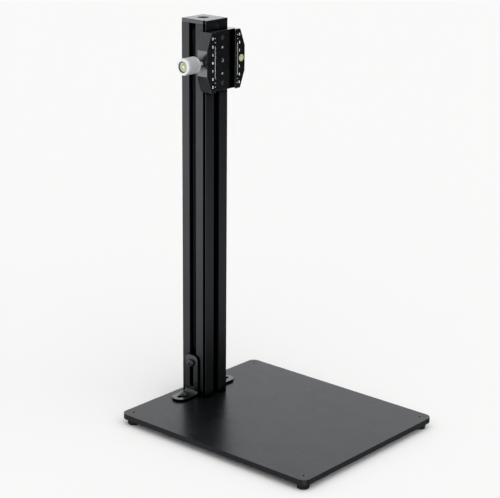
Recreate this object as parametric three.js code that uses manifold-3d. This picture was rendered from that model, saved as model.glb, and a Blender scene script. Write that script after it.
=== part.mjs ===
import * as THREE from 'three';
import { mergeVertices } from 'three/addons/utils/BufferGeometryUtils.js';
import Module from 'manifold-3d';

// Copy stand: a flat base on four rubber feet, an upright slotted column at its back edge,
// and a double-sided clamp that slides on the column's dovetail and holds a camera plate.
// Millimetres, +Z up, front towards -Y. The origin is under the middle of the base,
// on the surface that the feet stand on.

const wasm = await Module();
wasm.setup();

// Driving sizes of the base
const plateWidth = 260;
const plateDepth = 305;
const plateThickness = 7;
const plateCornerRadius = 10;
const plateEdgeChamfer = 0.6;

// Rubber feet with moulded-in nuts
const footInset = 12;
const footHeight = 8;
const footRadius = 8;
const footTaper = 0.5;
const footEdge = 0.9;
const insertRadius = 3.6;
const insertHeight = 4.5;
const insertSink = 0.8;

// Column: a slotted profile with a dovetail flange along its front
const columnWidth = 40;
const columnDepth = 40.65;
const columnLength = 491.75;
const columnSetback = 6.75;
const columnEdgeChamfer = 0.5;
const flangeEdge = 0.7;
const undercutMouth = 4.2;
const undercutDepth = 3.1;
const slotMouth = 11.2;
const slotLip = 3;
const slotCavity = 14.4;
const slotDepth = 10.4;
const slotCorner = 2.2;
const frontSlotMouth = 10;
const frontSlotLip = 7;
const frontSlotDepth = 12.6;
const coreBoreRadius = 3.4;
const cornerBoreRadius = 2.4;
const backBoreInset = 5.4;
const frontBoreSide = 7.7;
const frontBoreBack = 10.2;

// Top cap and the stop under its front edge
const capThickness = 5;
const capEdgeChamfer = 0.4;
const capScrewHeadRadius = 7;
const capScrewRadius = 3.1;
const capScrewLength = 22;
const stopHeight = 7.2;
const stopScrewHeadRadius = 2.75;
const stopScrewHeadHeight = 2.4;
const stopScrewRadius = 1.5;
const stopNutThickness = 3;
const stopNutHeight = 10;

// Angle brackets at the column's foot
const bracketWidth = 22;
const bracketThickness = 3;
const bracketLegHeight = 55;
const bracketFootReach = 35;
const bracketLegCorner = 7;
const bracketBend = 4;
const bracketSlotWidth = 5.6;
const legSlotBottom = 10;
const legSlotTop = 48.6;
const legScrewHeight = 44;
const footSlotInner = 10;
const footSlotOuter = 26.4;
const footScrewReach = 16.6;

// Bracket fasteners
const buttonHeadRadius = 4.75;
const buttonHeadHeight = 2.9;
const buttonShoulder = 1.1;
const buttonFaceRadius = 3;
const buttonScrewRadius = 2.5;
const legWasherRadius = 5;
const footWasherRadius = 6.4;
const washerThickness = 1;
const slotNutThickness = 4.4;
const slotNutHeight = 14;

// Bolts from below and screws from above in the base
const baseBoltHeadRadius = 3.5;
const baseBoltHeadHeight = 3.8;
const baseBoltRadius = 2.1;
const baseBoltGrip = 22;
const footScrewHeadRadius = 4.5;
const footScrewRadius = 2;

// Double-sided clamp
const clampHeight = 74.6;
const clampFlatHeight = 32;
const clampEndTaper = 8.5;
const clampSideReach = 14.2;
const fixedJawExtra = 1.3;
const frontChannelHalf = 17.6;
const frontChannelDepth = 5.5;
const lipNose = 0.8;
const channelCorner = 0.5;
const clampWeb = 9.3;
const backLipDepth = 3.2;
const seamOffset = 5;
const clampEdgeChamfer = 0.5;
const clampBackChamfer = 2.2;
const stopGap = 0.4;

// Clamp screw, its knob and the jaw's guide pins
const screwRadius = 2;
const screwBoreEnd = 5.5;
const screwTipGap = 0.6;
const screwInKnob = 14;
const screwForward = 0.75;
const neckRadius = 2.6;
const neckSink = 2.9;
const neckReach = 10.2;
const knobRadius = 10.4;
const knobShoulder = 3.4;
const knobLength = 23.5;
const knobRimRadius = 10.8;
const knobRimWidth = 3.7;
const knobEndChamfer = 1;
const knobShoulderShares = [[0, 0.62], [0.16, 0.78], [0.48, 0.92]];
const levelRadius = 6.7;
const levelDepth = 4;
const levelSink = 1.5;
const ringRadius = 3.1;
const ringThickness = 0.8;
const ringPocket = 1.6;
const thrustWasher = 0.6;
const guidePinRadius = 2;
const guidePinHeight = 22.2;
const guidePinInBody = 20;
const guidePinInJaw = 14.5;
const guidePinEndGap = 1.2;

// Details in the front channel's floor and the fixed jaw's level
const floorScrewHeight = 28.4;
const floorScrewHeadRadius = 2.6;
const floorScrewRadius = 1.5;
const floorScrewHeadHeight = 1.8;
const floorScrewLength = 6.4;
const floorSocketDepth = 0.9;
const tappedHoleHeight = 16.4;
const tappedHoleRadius = 1.5;
const tappedHoleDepth = 4.2;
const centreHoleRadius = 2.2;
const jawLevelRadius = 4.6;
const jawLevelDepth = 3.4;
const jawLevelSink = 0.3;
const jawLevelInset = 5.6;

// Socket sizes across flats, and how deep they are sunk
const largeSocket = 5;
const mediumSocket = 3;
const smallSocket = 2;
const socketDepth = 1.6;

// Clearances: pieces that seat on each other, shanks in holes, and sliding fits
const seatGap = 0.05;
const shankGap = 0.3;
const slideGap = 0.3;
const jawSeam = 0.4;
const overrun = 1;
const weldDistance = 0.0001;

// How many sides each kind of round gets
const smallSides = 16;
const mediumSides = 24;
const largeSides = 36;

const black = { color: 0x17191c, roughness: 0.42, metalness: 0.55 };
const blackSteel = { color: 0x0e0f11, roughness: 0.35, metalness: 0.6 };
const rubber = { color: 0x0c0d0e, roughness: 0.85, metalness: 0 };
const silver = { color: 0xb9bcc1, roughness: 0.3, metalness: 0.9 };
const brass = { color: 0xb08d4a, roughness: 0.4, metalness: 0.9 };
const lime = { color: 0xd2dc5a, roughness: 0.12, metalness: 0 };

// Places worked out from the sizes
const plateBottom = footHeight;
const plateTop = plateBottom + plateThickness;
const columnBottom = plateTop + seatGap;
const columnTop = columnBottom + columnLength;
const columnBack = plateDepth / 2 - columnSetback;
const columnFront = columnBack - columnDepth;
const columnHalf = columnWidth / 2;
const columnCentre = (columnFront + columnBack) / 2;
const ledge = columnFront + flangeEdge + undercutMouth;
const slotCentre = (ledge + columnBack) / 2;
const capBottom = columnTop + seatGap;
const capTop = capBottom + capThickness;
const stopBottom = columnTop - stopHeight;
const clampTop = stopBottom - stopGap;
const clampMiddle = clampTop - clampHeight / 2;
const clampHalfWidth = columnHalf + clampSideReach;
const fixedJawHalfWidth = clampHalfWidth + fixedJawExtra;
const channelBack = columnFront - slideGap;
const channelFloor = channelBack - clampWeb;
const clampFront = channelFloor - frontChannelDepth;
const clampBack = channelBack + backLipDepth;
const seam = columnHalf - seamOffset;
const screwAxis = (channelFloor + channelBack) / 2 - screwForward;
const channelCornerHalf = frontChannelHalf + frontChannelDepth - lipNose - channelCorner;
const neckEnd = clampHalfWidth - neckSink;
const knobInner = clampHalfWidth + neckReach;
const knobOuter = knobInner + knobLength;

// Turns a closed geometry into a solid whose faces point out.
function solidOf(geometry) {
  const bare = geometry.clone();
  bare.deleteAttribute('normal');
  bare.deleteAttribute('uv');
  const merged = mergeVertices(bare, weldDistance);
  const places = merged.getAttribute('position').array;
  const corners = merged.index.array;
  const kept = [];
  let volume = 0;
  for (let i = 0; i < corners.length; i += 3) {
    const [a, b, c] = [corners[i], corners[i + 1], corners[i + 2]];
    if (a === b || b === c || c === a) continue;
    kept.push(a, b, c);
    const [p, q, r] = [a, b, c].map((v) => new THREE.Vector3().fromArray(places, v * 3));
    volume += p.dot(q.cross(r));
  }
  if (volume < 0) {
    for (let i = 0; i < kept.length; i += 3) [kept[i], kept[i + 1]] = [kept[i + 1], kept[i]];
  }
  const mesh = new wasm.Mesh({
    numProp: 3,
    vertProperties: new Float32Array(places),
    triVerts: new Uint32Array(kept),
  });
  return new wasm.Manifold(mesh);
}

// Turns a solid back into a geometry.
function geometryOf(solid) {
  const mesh = solid.getMesh();
  const geometry = new THREE.BufferGeometry();
  const places = new Float32Array(mesh.numVert * 3);
  for (let i = 0; i < mesh.numVert; i += 1) {
    for (let k = 0; k < 3; k += 1) places[i * 3 + k] = mesh.vertProperties[i * mesh.numProp + k];
  }
  geometry.setAttribute('position', new THREE.BufferAttribute(places, 3));
  geometry.setIndex(new THREE.BufferAttribute(new Uint32Array(mesh.triVerts), 1));
  geometry.computeVertexNormals();
  return geometry;
}

const quarter = Math.PI / 2;
const half = Math.PI;
const xAxis = new THREE.Vector3(1, 0, 0);
const yAxis = new THREE.Vector3(0, 1, 0);
const zAxis = new THREE.Vector3(0, 0, 1);

// Extrudes an outline between two heights on an axis. The outline's own coordinates are
// X and Y for axis z, X and Z for axis y, and Y and Z for axis x.
function prism(outline, low, high, axis = 'z') {
  const shape = outline instanceof THREE.Shape ? outline : new THREE.Shape(outline);
  const geometry = new THREE.ExtrudeGeometry(shape, {
    depth: high - low,
    bevelEnabled: false,
    curveSegments: 8,
  });
  if (axis === 'z') geometry.translate(0, 0, low);
  if (axis === 'y') geometry.rotateX(Math.PI / 2).translate(0, high, 0);
  if (axis === 'x') {
    geometry.applyMatrix4(new THREE.Matrix4().makeBasis(yAxis, zAxis, xAxis));
    geometry.translate(low, 0, 0);
  }
  return solidOf(geometry);
}

// Spins a profile of [radius, height] points about an axis through the given centre.
function turned(profile, axis, centre, sides) {
  const geometry = new THREE.LatheGeometry(profile.map(([r, t]) => new THREE.Vector2(r, t)), sides);
  if (axis === 'z') geometry.rotateX(Math.PI / 2);
  if (axis === 'x') geometry.applyMatrix4(new THREE.Matrix4().makeBasis(zAxis, xAxis, yAxis));
  geometry.translate(...centre);
  return solidOf(geometry);
}

// A plain round bar or hole along an axis.
function rod(radius, low, high, axis, centre, sides = smallSides) {
  return turned([[0, low], [radius, low], [radius, high], [0, high]], axis, centre, sides);
}

// A rectangular block between two corners.
function block(x0, x1, y0, y1, z0, z1) {
  const geometry = new THREE.BoxGeometry(x1 - x0, y1 - y0, z1 - z0);
  geometry.translate((x0 + x1) / 2, (y0 + y1) / 2, (z0 + z1) / 2);
  return solidOf(geometry);
}

// The outline of a slot with round ends, from one end to the other on its first coordinate.
function slotOutline(start, end, centre, width) {
  const radius = width / 2;
  const shape = new THREE.Shape();
  shape.absarc(end - radius, centre, radius, -quarter, quarter, false);
  shape.absarc(start + radius, centre, radius, quarter, half + quarter, false);
  return shape;
}

// A hexagonal socket that sinks from a head's face, seen along the axis.
function socket(acrossFlats, low, high, axis, centre) {
  const radius = acrossFlats / Math.sqrt(3);
  return turned([[0, low], [radius, low], [radius, high], [0, high]], axis, centre, 6);
}

// A mirror image of a solid in the plane X = 0.
function mirrored(solid) {
  return solid.mirror([1, 0, 0]);
}

// Rounded or chamfered plate with its outline in X and Y.
function roundedPlate(width, depth, corner, chamfer, low, high) {
  const [w, d] = [width / 2, depth / 2];
  const shape = new THREE.Shape();
  shape.absarc(w - corner, d - corner, corner, 0, quarter, false);
  shape.absarc(corner - w, d - corner, corner, quarter, half, false);
  shape.absarc(corner - w, corner - d, corner, half, half + quarter, false);
  shape.absarc(w - corner, corner - d, corner, -quarter, 0, false);
  const geometry = new THREE.ExtrudeGeometry(shape, {
    depth: high - low - chamfer * 2,
    bevelEnabled: true,
    bevelSize: chamfer,
    bevelThickness: chamfer,
    bevelOffset: -chamfer,
    bevelSegments: 1,
    curveSegments: 8,
  });
  geometry.translate(0, 0, low + chamfer);
  return solidOf(geometry);
}

const copyStand = new THREE.Group();

// Adds one finished piece under its own name.
function add(name, solid, finish) {
  const mesh = new THREE.Mesh(geometryOf(solid), new THREE.MeshStandardMaterial(finish));
  mesh.name = name;
  copyStand.add(mesh);
}

// Countersunk screw that stands upright with its head flush with the face at height top.
function countersunk(headRadius, radius, top, tip, centre, hex) {
  const face = top - seatGap;
  const shoulder = face - (headRadius - radius);
  const profile = [[0, tip], [radius, tip], [radius, shoulder], [headRadius, face], [0, face]];
  const screw = turned(profile, 'z', centre, mediumSides);
  return screw.subtract(socket(hex, top - socketDepth, top + overrun, 'z', centre));
}

// The hole that such a screw sits in.
function countersink(headRadius, radius, top, bottom, centre) {
  const [wide, narrow] = [headRadius + shankGap, radius + shankGap];
  const shoulder = top - (headRadius - radius);
  const mouth = top + overrun;
  const profile = [[0, bottom], [narrow, bottom], [narrow, shoulder], [wide, top], [wide, mouth], [0, mouth]];
  return turned(profile, 'z', centre, mediumSides);
}

// Cylindrical head from face to seat with a shank that goes on to tip.
function headed(headRadius, radius, face, seat, tip, axis, centre) {
  const head = [[0, face], [headRadius, face], [headRadius, seat]];
  const shank = [[radius, seat], [radius, tip], [0, tip]];
  return turned([...head, ...shank], axis, centre, smallSides);
}

// A flat round washer or ring with a hole.
function washer(radius, hole, low, high, axis, centre) {
  const ring = rod(radius, low, high, axis, centre, mediumSides);
  return drilled(ring, hole, low - overrun, high + overrun, axis, centre);
}

// Takes a round hole out of a solid.
function drilled(solid, radius, low, high, axis, centre, sides) {
  return solid.subtract(rod(radius, low, high, axis, centre, sides));
}

// Where the base's pieces stand
const footPlaces = [];
for (const [side, sideName] of [[-1, 'left'], [1, 'right']]) {
  for (const [end, endName] of [[-1, 'front'], [1, 'back']]) {
    const x = side * (plateWidth / 2 - footInset);
    const y = end * (plateDepth / 2 - footInset);
    footPlaces.push({ name: `${endName}_${sideName}`, centre: [x, y, 0] });
  }
}
const boltPlaces = [];
for (const [side, sideName] of [[-1, 'left'], [1, 'right']]) {
  const backX = side * (columnHalf - backBoreInset);
  const frontX = side * (columnHalf - frontBoreSide);
  boltPlaces.push({ name: `back_${sideName}`, centre: [backX, columnBack - backBoreInset, 0] });
  boltPlaces.push({ name: `front_${sideName}`, centre: [frontX, columnFront + frontBoreBack, 0] });
}
const bracketInner = columnHalf + seatGap;
const bracketOuter = bracketInner + bracketThickness;
const bracketFoot = plateTop + seatGap;
const bracketFootTop = bracketFoot + bracketThickness;
const bracketScrewX = bracketOuter + footScrewReach - bracketThickness;

function buildBasePlate() {
  const [under, above] = [plateBottom - overrun, plateTop + overrun];
  const headRoom = plateBottom + baseBoltHeadHeight + shankGap;
  const outline = [plateWidth, plateDepth, plateCornerRadius, plateEdgeChamfer];
  let plate = roundedPlate(...outline, plateBottom, plateTop);
  for (const { centre } of footPlaces) {
    plate = plate.subtract(countersink(footScrewHeadRadius, footScrewRadius, plateTop, under, centre));
  }
  for (const { centre } of boltPlaces) {
    plate = drilled(plate, baseBoltHeadRadius + shankGap, under, headRoom, 'z', centre);
    plate = drilled(plate, baseBoltRadius + shankGap, under, above, 'z', centre);
  }
  for (const side of [-1, 1]) {
    const centre = [side * bracketScrewX, slotCentre, 0];
    plate = drilled(plate, buttonScrewRadius + shankGap, under, above, 'z', centre);
  }
  add('base_plate', plate, black);
}

function buildFeet() {
  const top = plateBottom - seatGap;
  const insertTop = top - insertSink;
  const insertBottom = insertTop - insertHeight;
  const wide = footRadius;
  const narrow = footRadius - footTaper;
  for (const { name, centre } of footPlaces) {
    const profile = [[0, 0], [narrow - footEdge, 0], [narrow, footEdge], [wide, top], [0, top]];
    const pocket = [insertRadius + shankGap, insertBottom - shankGap, top + overrun];
    const foot = turned(profile, 'z', centre, mediumSides);
    add(`foot_${name}`, drilled(foot, ...pocket, 'z', centre), rubber);
    const insert = washer(insertRadius, footScrewRadius + shankGap, insertBottom, insertTop, 'z', centre);
    add(`foot_insert_${name}`, insert, brass);
    const reach = [plateTop, insertBottom];
    const screw = countersunk(footScrewHeadRadius, footScrewRadius, ...reach, centre, mediumSocket);
    add(`foot_screw_${name}`, screw, blackSteel);
  }
}

// One T-slot as an outline on the side that faces the slot's mouth, from -width to +width.
function slotSection(mouth, lip, cavity, depth, corner) {
  const [m, c] = [mouth / 2, cavity / 2];
  const right = [[m, -overrun], [m, lip], [c, lip], [c, depth - corner], [c - corner, depth]];
  const left = right.map(([u, v]) => [-u, v]).reverse();
  return [...right, ...left];
}

// Right-hand edge of the dovetail flange, from its front face to the given depth behind it.
function flangeEdgePoints(back) {
  const neck = columnHalf - undercutDepth;
  const undercutTop = columnFront + flangeEdge;
  return [
    [columnHalf - columnEdgeChamfer, columnFront],
    [columnHalf, columnFront + columnEdgeChamfer],
    [columnHalf, undercutTop],
    [neck, undercutTop + undercutDepth],
    [neck, back],
  ];
}

// Closes a right-hand edge with its mirror image on the left.
function bothSides(right) {
  const left = right.map(([x, y]) => [-x, y]).reverse();
  return [...right, ...left].map(([x, y]) => new THREE.Vector2(x, y));
}

// Outline of the column and of its cap seen from above, without the slots.
function columnSection() {
  return bothSides([
    ...flangeEdgePoints(ledge),
    [columnHalf, ledge],
    [columnHalf, columnBack - columnEdgeChamfer],
    [columnHalf - columnEdgeChamfer, columnBack],
  ]);
}

function buildColumn() {
  const [under, above] = [columnBottom - overrun, columnTop + overrun];
  let column = prism(columnSection(), columnBottom, columnTop);
  const side = slotSection(slotMouth, slotLip, slotCavity, slotDepth, slotCorner);
  const front = slotSection(frontSlotMouth, frontSlotLip, slotCavity, frontSlotDepth, slotCorner);
  const back = slotSection(slotMouth, slotLip, slotCavity, slotDepth, slotCorner);
  const cuts = [
    side.map(([u, v]) => [-columnHalf + v, slotCentre + u]),
    side.map(([u, v]) => [columnHalf - v, slotCentre + u]),
    front.map(([u, v]) => [u, columnFront + v]),
    back.map(([u, v]) => [u, columnBack - v]),
  ];
  for (const cut of cuts) {
    const outline = cut.map(([x, y]) => new THREE.Vector2(x, y));
    column = column.subtract(prism(outline, under, above));
  }
  const bores = boltPlaces.map(({ centre }) => [cornerBoreRadius, centre]);
  bores.push([coreBoreRadius, [0, slotCentre, 0]]);
  for (const [radius, centre] of bores) {
    column = drilled(column, radius, under, above, 'z', centre);
  }
  const reach = columnHalf + overrun;
  const notch = block(-reach, reach, columnFront - overrun, ledge, stopBottom - seatGap, above);
  add('column', column.subtract(notch), black);
}

function buildColumnBolts() {
  const headBottom = plateBottom + seatGap;
  const headTop = headBottom + baseBoltHeadHeight;
  for (const { name, centre } of boltPlaces) {
    const tip = columnBottom + baseBoltGrip;
    const bolt = headed(baseBoltHeadRadius, baseBoltRadius, headBottom, headTop, tip, 'z', centre);
    const hex = socket(mediumSocket, headBottom - overrun, headBottom + socketDepth, 'z', centre);
    add(`column_bolt_${name}`, bolt.subtract(hex), blackSteel);
  }
}

function buildCap() {
  const centre = [0, slotCentre, 0];
  const hole = countersink(capScrewHeadRadius, capScrewRadius, capTop, capBottom - overrun, centre);
  const plate = roundedPlate(columnWidth, columnDepth, columnEdgeChamfer, capEdgeChamfer, capBottom, capTop);
  const outline = prism(columnSection(), capBottom, capTop);
  const cap = plate.translate([0, columnCentre, 0]).intersect(outline);
  add('top_cap', cap.subtract(hole), black);
  const reach = [capTop, capTop - capScrewLength];
  const screw = countersunk(capScrewHeadRadius, capScrewRadius, ...reach, centre, largeSocket);
  add('cap_screw', screw, blackSteel);
}

function buildStop() {
  const centre = [0, 0, (stopBottom + columnTop) / 2];
  const before = columnFront - overrun;
  const headBack = columnFront + stopScrewHeadHeight;
  const nutFront = columnFront + frontSlotLip + seatGap;
  const nutBack = nutFront + stopNutThickness;
  const nutHalf = slotCavity / 2 - slideGap;
  const nutTop = columnTop - seatGap;
  const hole = stopScrewRadius + shankGap;
  let stop = prism(bothSides(flangeEdgePoints(ledge - seatGap)), stopBottom, columnTop - seatGap);
  stop = drilled(stop, stopScrewHeadRadius + shankGap, before, headBack + seatGap, 'y', centre);
  stop = drilled(stop, hole, before, ledge + overrun, 'y', centre);
  add('stop_block', stop, black);
  const screw = headed(stopScrewHeadRadius, stopScrewRadius, columnFront, headBack, nutBack, 'y', centre);
  const hex = socket(smallSocket, before, columnFront + socketDepth, 'y', centre);
  add('stop_screw', screw.subtract(hex), blackSteel);
  const nut = block(-nutHalf, nutHalf, nutFront, nutBack, nutTop - stopNutHeight, nutTop);
  add('stop_nut', drilled(nut, hole, nutFront - overrun, nutBack + overrun, 'y', centre), silver);
}

// Left bracket: its leg stands against the column and its foot points away from it.
function bracketSolid() {
  const top = plateTop + bracketLegHeight;
  const [front, back] = [slotCentre - bracketWidth / 2, slotCentre + bracketWidth / 2];
  const tip = bracketInner + bracketFootReach;
  const bendX = bracketOuter + bracketBend;
  const bendZ = bracketFootTop + bracketBend;
  const side = new THREE.Shape();
  side.moveTo(-bracketInner, bracketFoot);
  side.lineTo(-bracketInner, top);
  side.lineTo(-bracketOuter, top);
  side.lineTo(-bracketOuter, bendZ);
  side.absarc(-bendX, bendZ, bracketBend, 0, -quarter, true);
  side.lineTo(-tip, bracketFootTop);
  side.lineTo(-tip, bracketFoot);
  const angle = prism(side, front, back, 'y');
  const cornerZ = top - bracketLegCorner;
  const leg = new THREE.Shape();
  leg.moveTo(front, bracketFoot - overrun);
  leg.lineTo(back, bracketFoot - overrun);
  leg.absarc(back - bracketLegCorner, cornerZ, bracketLegCorner, 0, quarter, false);
  leg.absarc(front + bracketLegCorner, cornerZ, bracketLegCorner, quarter, half, false);
  const legForm = prism(leg, -tip - overrun, 0, 'x');
  const footForm = prism(slotOutline(-tip, bracketWidth, slotCentre, bracketWidth), 0, top + overrun);
  const [low, high] = [plateTop + legSlotBottom, plateTop + legSlotTop];
  const legSlot = slotOutline(low, high, slotCentre, bracketSlotWidth);
  const turnedSlot = prism(legSlot, bracketInner - overrun, bracketOuter + overrun).rotate([0, -90, 0]);
  const [outer, inner] = [-bracketInner - footSlotOuter, -bracketInner - footSlotInner];
  const footSlot = slotOutline(outer, inner, slotCentre, bracketSlotWidth);
  const footCut = prism(footSlot, bracketFoot - overrun, bracketFootTop + overrun);
  return angle.intersect(legForm).intersect(footForm).subtract(turnedSlot).subtract(footCut);
}

// Button-head screw along an axis: its washer face is at seat and its shank runs to tip.
function buttonScrew(seat, tip, axis, centre, out) {
  const face = seat + out * buttonHeadHeight;
  const shoulder = seat + out * buttonShoulder;
  const profile = [
    [0, tip],
    [buttonScrewRadius, tip],
    [buttonScrewRadius, seat],
    [buttonHeadRadius, seat],
    [buttonHeadRadius, shoulder],
    [buttonFaceRadius, face],
    [0, face],
  ];
  const [low, high] = [face - out * socketDepth, face + out * overrun].sort((a, b) => a - b);
  return turned(profile, axis, centre, smallSides).subtract(socket(mediumSocket, low, high, axis, centre));
}

function buildBrackets() {
  const screwZ = plateTop + legScrewHeight;
  const legCentre = [0, slotCentre, screwZ];
  const legSeat = -bracketOuter - seatGap;
  const legHead = legSeat - washerThickness - seatGap;
  const nutFace = -columnHalf + slotLip + seatGap;
  const nutInner = nutFace + slotNutThickness;
  const nutHalf = slotCavity / 2 - slideGap;
  const [nutLow, nutHigh] = [screwZ - slotNutHeight / 2, screwZ + slotNutHeight / 2];
  const footSeat = bracketFootTop + seatGap;
  const footHead = footSeat + washerThickness + seatGap;
  const footCentre = [-bracketScrewX, slotCentre, 0];
  const hole = buttonScrewRadius + shankGap;
  const nut = block(nutFace, nutInner, slotCentre - nutHalf, slotCentre + nutHalf, nutLow, nutHigh);
  const legWasher = washer(legWasherRadius, hole, legSeat - washerThickness, legSeat, 'x', legCentre);
  const footWasher = washer(footWasherRadius, hole, footSeat, footSeat + washerThickness, 'z', footCentre);
  const pieces = [
    ['bracket', bracketSolid(), black],
    ['leg_washer', legWasher, blackSteel],
    ['leg_screw', buttonScrew(legHead, nutInner, 'x', legCentre, -1), blackSteel],
    ['slot_nut', drilled(nut, hole, nutFace - overrun, nutInner + overrun, 'x', legCentre), silver],
    ['bracket_washer', footWasher, blackSteel],
    ['bracket_screw', buttonScrew(footHead, plateBottom + seatGap, 'z', footCentre, 1), blackSteel],
  ];
  for (const [name, solid, finish] of pieces) {
    add(`${name}_left`, solid, finish);
    add(`${name}_right`, mirrored(solid), finish);
  }
}

// The clamp's outline seen from the front: a flat middle with tapered ends.
function clampOutline() {
  const [h, m] = [clampHeight / 2, clampFlatHeight / 2];
  const [left, right] = [-clampHalfWidth, fixedJawHalfWidth];
  const [leftEnd, rightEnd] = [left + clampEndTaper, right - clampEndTaper];
  const rightCorners = [[rightEnd, -h], [right, -m], [right, m], [rightEnd, h]];
  const corners = [...rightCorners, [leftEnd, h], [left, m], [left, -m], [leftEnd, -h]];
  const points = corners.map(([x, z]) => new THREE.Vector2(x, clampMiddle + z));
  return prism(points, clampFront - overrun, clampBack + overrun, 'y');
}

// Cross-section of a jaw that stands on the right, with a web that starts at X = inner
// and a side face at X = outer.
function jawSection(inner, outer) {
  const side = columnHalf + slideGap;
  const grip = columnFront + flangeEdge;
  const slant = slideGap * Math.SQRT2;
  const lipHalf = columnHalf - (clampBack - grip) + slant;
  const points = [
    [inner, channelFloor],
    [channelCornerHalf, channelFloor],
    [channelCornerHalf, channelFloor - channelCorner],
    [frontChannelHalf, clampFront + lipNose],
    [frontChannelHalf, clampFront],
    [outer - clampEdgeChamfer, clampFront],
    [outer, clampFront + clampEdgeChamfer],
    [outer, clampBack - clampBackChamfer],
    [outer - clampBackChamfer, clampBack],
    [lipHalf, clampBack],
    [side, grip + slant - slideGap],
    [side, channelBack],
    [inner, channelBack],
  ];
  return points.map(([x, y]) => new THREE.Vector2(x, y));
}

const [clampLow, clampHigh] = [clampMiddle - clampHeight / 2, clampMiddle + clampHeight / 2];
const screwLine = [0, screwAxis, clampMiddle];

// A point on the clamp's middle plane, above or below its middle, at the given depth.
function clampPoint(side, height, y) {
  return [0, y, clampMiddle + side * height];
}

function buildClampBody() {
  const before = channelFloor - overrun;
  const headBack = channelFloor + floorScrewHeadHeight + shankGap;
  const holeEnd = channelFloor + floorScrewLength + shankGap;
  let body = prism(jawSection(-seam, fixedJawHalfWidth), clampLow, clampHigh).intersect(clampOutline());
  body = drilled(body, screwRadius + shankGap, -seam - overrun, -screwBoreEnd, 'x', screwLine);
  body = drilled(body, centreHoleRadius, before, channelBack + overrun, 'y', clampPoint(0, 0, 0));
  for (const side of [-1, 1]) {
    const pin = clampPoint(side, guidePinHeight, screwAxis);
    const screw = clampPoint(side, floorScrewHeight, 0);
    const tapped = clampPoint(side, tappedHoleHeight, 0);
    body = drilled(body, guidePinRadius + shankGap, -seam - overrun, guidePinInBody - seam, 'x', pin);
    body = drilled(body, tappedHoleRadius, before, channelFloor + tappedHoleDepth, 'y', tapped);
    body = drilled(body, floorScrewHeadRadius + shankGap, before, headBack, 'y', screw);
    body = drilled(body, floorScrewRadius + shankGap, before, holeEnd, 'y', screw);
  }
  const level = [fixedJawHalfWidth - jawLevelInset, 0, clampMiddle];
  const levelFront = clampFront + jawLevelSink;
  const levelBack = levelFront + jawLevelDepth;
  const pocket = [jawLevelRadius + shankGap, clampFront - overrun, levelBack + seatGap];
  add('clamp_body', drilled(body, ...pocket, 'y', level, mediumSides), black);
  add('jaw_level', rod(jawLevelRadius, levelFront, levelBack, 'y', level, mediumSides), lime);
}

function buildClampFasteners() {
  const face = channelFloor + seatGap;
  const seat = channelFloor + floorScrewHeadHeight;
  const tip = channelFloor + floorScrewLength;
  const pinReach = [-seam - guidePinInJaw, guidePinInBody - seam - seatGap];
  for (const [side, name] of [[1, 'upper'], [-1, 'lower']]) {
    const pin = clampPoint(side, guidePinHeight, screwAxis);
    const centre = clampPoint(side, floorScrewHeight, 0);
    const screw = headed(floorScrewHeadRadius, floorScrewRadius, face, seat, tip, 'y', centre);
    const hex = socket(smallSocket, face - overrun, face + floorSocketDepth, 'y', centre);
    add(`guide_pin_${name}`, rod(guidePinRadius, ...pinReach, 'x', pin), silver);
    add(`floor_screw_${name}`, screw.subtract(hex), silver);
  }
}

function buildMovingJaw() {
  const outside = -clampHalfWidth - overrun;
  const seamFace = -seam - jawSeam;
  const inside = seamFace + overrun;
  const washerSeat = thrustWasher + seatGap * 2 - neckEnd;
  const pinBoreEnd = -seam - guidePinInJaw - guidePinEndGap;
  const section = jawSection(seam + jawSeam, clampHalfWidth);
  let jaw = mirrored(prism(section, clampLow, clampHigh)).intersect(clampOutline());
  jaw = drilled(jaw, screwRadius + shankGap, outside, inside, 'x', screwLine);
  jaw = drilled(jaw, neckRadius + shankGap, outside, washerSeat, 'x', screwLine, mediumSides);
  jaw = drilled(jaw, ringRadius + shankGap, seamFace - ringPocket, inside, 'x', screwLine, mediumSides);
  for (const side of [-1, 1]) {
    const pin = clampPoint(side, guidePinHeight, screwAxis);
    jaw = drilled(jaw, guidePinRadius + shankGap, pinBoreEnd, inside, 'x', pin);
  }
  add('moving_jaw', jaw, black);
}

function buildKnob() {
  const rise = knobRadius - neckRadius;
  const shoulder = knobShoulderShares.map(([t, r]) => [neckRadius + rise * r, -knobInner - knobShoulder * t]);
  const profile = [
    [0, -neckEnd],
    [neckRadius, -neckEnd],
    [neckRadius, -knobInner],
    ...shoulder,
    [knobRadius, -knobInner - knobShoulder],
    [knobRadius, -knobOuter + knobRimWidth],
    [knobRimRadius, -knobOuter + knobRimWidth + knobRadius - knobRimRadius],
    [knobRimRadius, -knobOuter + knobEndChamfer],
    [knobRimRadius - knobEndChamfer, -knobOuter],
    [0, -knobOuter],
  ];
  const levelFace = -knobOuter + levelSink;
  const levelSeat = levelFace + levelDepth;
  const screwEnd = -knobInner - screwInKnob;
  const snug = screwRadius + seatGap * 2;
  const washerFace = seatGap - neckEnd;
  const ringFace = seatGap - seam - jawSeam - ringPocket;
  const pocket = [levelRadius + shankGap, -knobOuter - overrun, levelSeat + seatGap];
  let knob = turned(profile, 'x', screwLine, largeSides);
  knob = drilled(knob, ...pocket, 'x', screwLine, mediumSides);
  knob = drilled(knob, snug, screwEnd - seatGap, overrun - neckEnd, 'x', screwLine);
  add('knob', knob, silver);
  add('knob_level', rod(levelRadius, levelFace, levelSeat, 'x', screwLine, mediumSides), lime);
  add('clamp_screw', rod(screwRadius, screwEnd, -screwBoreEnd - screwTipGap, 'x', screwLine), silver);
  const collar = [snug, washerFace, washerFace + thrustWasher];
  add('thrust_washer', washer(neckRadius, ...collar, 'x', screwLine), brass);
  const ring = [snug, ringFace, ringFace + ringThickness];
  add('retaining_ring', washer(ringRadius, ...ring, 'x', screwLine), blackSteel);
}

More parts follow.
